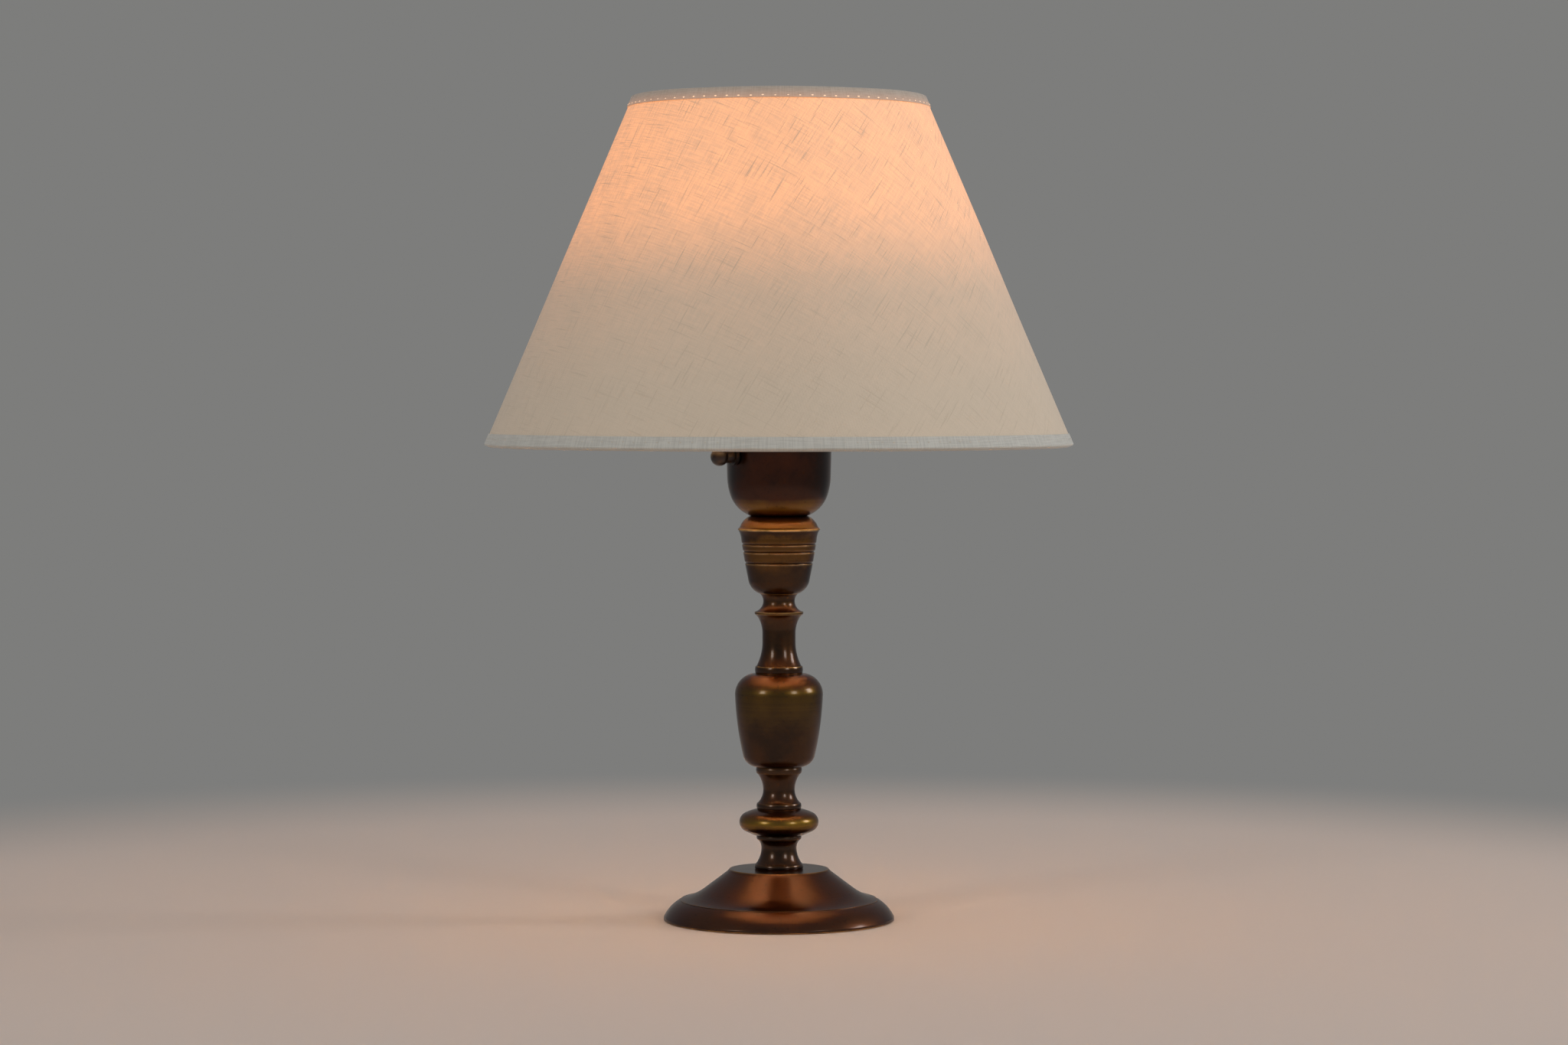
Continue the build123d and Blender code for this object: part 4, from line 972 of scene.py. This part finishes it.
finishes = {
    "bakelite": makePlastic(
        "brownPhenolic", (0.030, 0.015, 0.010), 0.28, second=(0.012, 0.007, 0.005), coat=0.3,
    ),
    "black_plastic": makePlastic("blackPlastic", (0.02, 0.02, 0.02), 0.5),
    "white_plastic": makePlastic("whitePlastic", (0.72, 0.71, 0.68), 0.35, coat=0.2),
    "porcelain": makePlastic("porcelain", (0.80, 0.78, 0.72), 0.55, grain=300.0, depth=0.00005),
    "steel": makeMetal("zincSteel", (0.56, 0.55, 0.52), 0.28),
    "contact_brass": makeMetal("brightBrass", (0.78, 0.56, 0.24), 0.22),
    "nickel_cap": makeMetal("nickelCap", (0.66, 0.64, 0.60), 0.25),
    "board_aluminium": makeMetal("boardAluminium", (0.80, 0.80, 0.79), 0.35),
    "iron": makeMetal("castIron", (0.09, 0.088, 0.085), 0.6, grain=350.0, depth=0.0002),
    "felt": makeFelt("greenFelt", (0.012, 0.035, 0.018), (0.035, 0.085, 0.045)),
    "white_steel": makePlastic("whiteEnamel", (0.74, 0.72, 0.66), 0.3, grain=200.0, coat=0.3),
    "shade_laminate": makeGlowing("shadeSheet", (0.72, 0.69, 0.62), (1.0, 0.50, 0.20), (0.33, 0.45), 0.18),
    "opal_plastic": makeGlowing(
        "litOpal", (0.90, 0.86, 0.78), (1.0, 0.58, 0.27), (0.356, 0.372), 36.0, rough=0.3,
    ),
}
slotOf = {part["node"]: part["material_slot"] for part in frame["record"]["subparts"]}
for nodeName, obj in nodes.items():
    if obj.hide_render:
        continue
    obj.data.materials.clear()
    obj.data.materials.append(finishes[slotOf[nodeName]])
print("finishes given to the CAD pieces")

capThread = {
    "pitch": 0.003629,
    "depth": 0.0009,
    "bottom": 0.0025,  # above the cap's lower edge
    "top": 0.0175,
    "run": 0.0015,  # height in which the groove comes in and goes out
    "crestBand": (0.0006, 0.0002),  # under the crest radius, where the cap's wall counts as its outside
    "step": 0.00045,
}
capLow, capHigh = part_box("bulb_cap")


def capThreadCut(r, z, angle):
    up = z - capLow.z
    ends = smoothStep(up, capThread["bottom"], capThread["bottom"] + capThread["run"])
    ends *= 1 - smoothStep(up, capThread["top"] - capThread["run"], capThread["top"])
    inner, crest = capThread["crestBand"]
    outer = smoothStep(r, capHigh.x - inner, capHigh.x - crest)
    wave = 0.5 - 0.5 * math.cos(2 * math.pi * (up / capThread["pitch"] - angle / (2 * math.pi)))
    return capThread["depth"] * ends * outer * wave


bulbCap = turned("bulbCap", "bulb_cap", step=capThread["step"], cut=capThreadCut)
bulbCap.data.materials.append(finishes[slotOf["bulb_cap"]])
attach(bulbCap, "bulb")
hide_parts("bulb_cap")
print("bulb cap threaded")


stage = {
    "floorColour": (0.73, 0.61, 0.535),
    "backColour": (0.205, 0.205, 0.20),
    "worldLight": (0.36, 0.367, 0.38),
    "fadeStart": 0.55,  # distance from the lamp where the floor starts to turn into the backdrop
    "fadeEnd": 0.95,
    "floorSize": 30.0,
    "floorDrop": 0.0001,
    "boxDistance": 2.6,
    "boxAim": (0, 0, 0.15),
}


def seenDirectly(tree):
    # 1 for camera, glossy and transmission rays
    path = add(tree, "ShaderNodeLightPath").outputs
    seen = mathNode(tree, "MAXIMUM", path["Is Camera Ray"], path["Is Glossy Ray"])
    return mathNode(tree, "MAXIMUM", seen, path["Is Transmission Ray"])


def makeFloor(look):
    bm = bmesh.new()
    bmesh.ops.create_grid(bm, x_segments=1, y_segments=1, size=look["floorSize"] / 2)
    mesh = bpy.data.meshes.new("floor")
    bm.to_mesh(mesh)
    bm.free()
    floor = bpy.data.objects.new("floor", mesh)
    bpy.context.scene.collection.objects.link(floor)
    floor.location.z = -look["floorDrop"]
    mat = newMaterial("paleFloor")
    tree = mat.node_tree
    diffuse = add(tree, "ShaderNodeBsdfDiffuse", Color=(*look["floorColour"], 1.0))
    back = add(tree, "ShaderNodeEmission", Color=(*look["backColour"], 1.0))
    length = add(tree, "ShaderNodeVectorMath", {"operation": "LENGTH"})
    tree.links.new(objectPlace(tree), length.inputs[0])
    fade = ramp(tree, length.outputs["Value"], look["fadeStart"], look["fadeEnd"])
    mix = add(tree, "ShaderNodeMixShader")
    tree.links.new(times(tree, fade, seenDirectly(tree)), mix.inputs[0])
    join(tree, diffuse, mix, into=1)
    join(tree, back, mix, into=2)
    join(tree, mix, add(tree, "ShaderNodeOutputMaterial"))
    mesh.materials.append(mat)


def makeWorld(look):
    world = bpy.data.worlds.new("studio")
    world.use_nodes = True
    tree = world.node_tree
    tree.nodes.clear()
    mix = add(tree, "ShaderNodeMixShader")
    tree.links.new(seenDirectly(tree), mix.inputs[0])
    join(tree, add(tree, "ShaderNodeBackground", Color=(*look["worldLight"], 1.0)), mix, into=1)
    join(tree, add(tree, "ShaderNodeBackground", Color=(*look["backColour"], 1.0)), mix, into=2)
    join(tree, mix, add(tree, "ShaderNodeOutputWorld"))
    bpy.context.scene.world = world


# azimuth from the front to the right and elevation, in degrees
lightBoxes = {
    "leftBox": {
        "azimuth": -45, "elevation": 20, "size": (0.55, 0.60), "radiance": 8.5, "colour": (1, 0.98, 0.93),
    },
    "rightBox": {
        "azimuth": 42, "elevation": 20, "size": (0.55, 0.60), "radiance": 8.0, "colour": (1, 0.98, 0.94),
    },
    "sideBox": {
        "azimuth": 92, "elevation": 20, "size": (0.65, 0.70), "radiance": 9.5, "colour": (0.97, 0.98, 1.0),
    },
}


def makeLightBox(name, facts, look):
    data = bpy.data.lights.new(name, "AREA")
    data.shape = "RECTANGLE"
    data.size, data.size_y = facts["size"]
    data.energy = facts["radiance"] * math.pi * data.size * data.size_y
    data.color = facts["colour"]
    lamp = bpy.data.objects.new(name, data)
    bpy.context.scene.collection.objects.link(lamp)
    a, e = math.radians(facts["azimuth"]), math.radians(facts["elevation"])
    away = Vector((math.sin(a) * math.cos(e), -math.cos(a) * math.cos(e), math.sin(e)))
    lamp.location = Vector(look["boxAim"]) + away * look["boxDistance"]
    lamp.rotation_mode = "QUATERNION"
    lamp.rotation_quaternion = away.to_track_quat("Z", "Y")


makeFloor(stage)
makeWorld(stage)
for name, facts in lightBoxes.items():
    makeLightBox(name, facts, stage)
print("stage and light made")
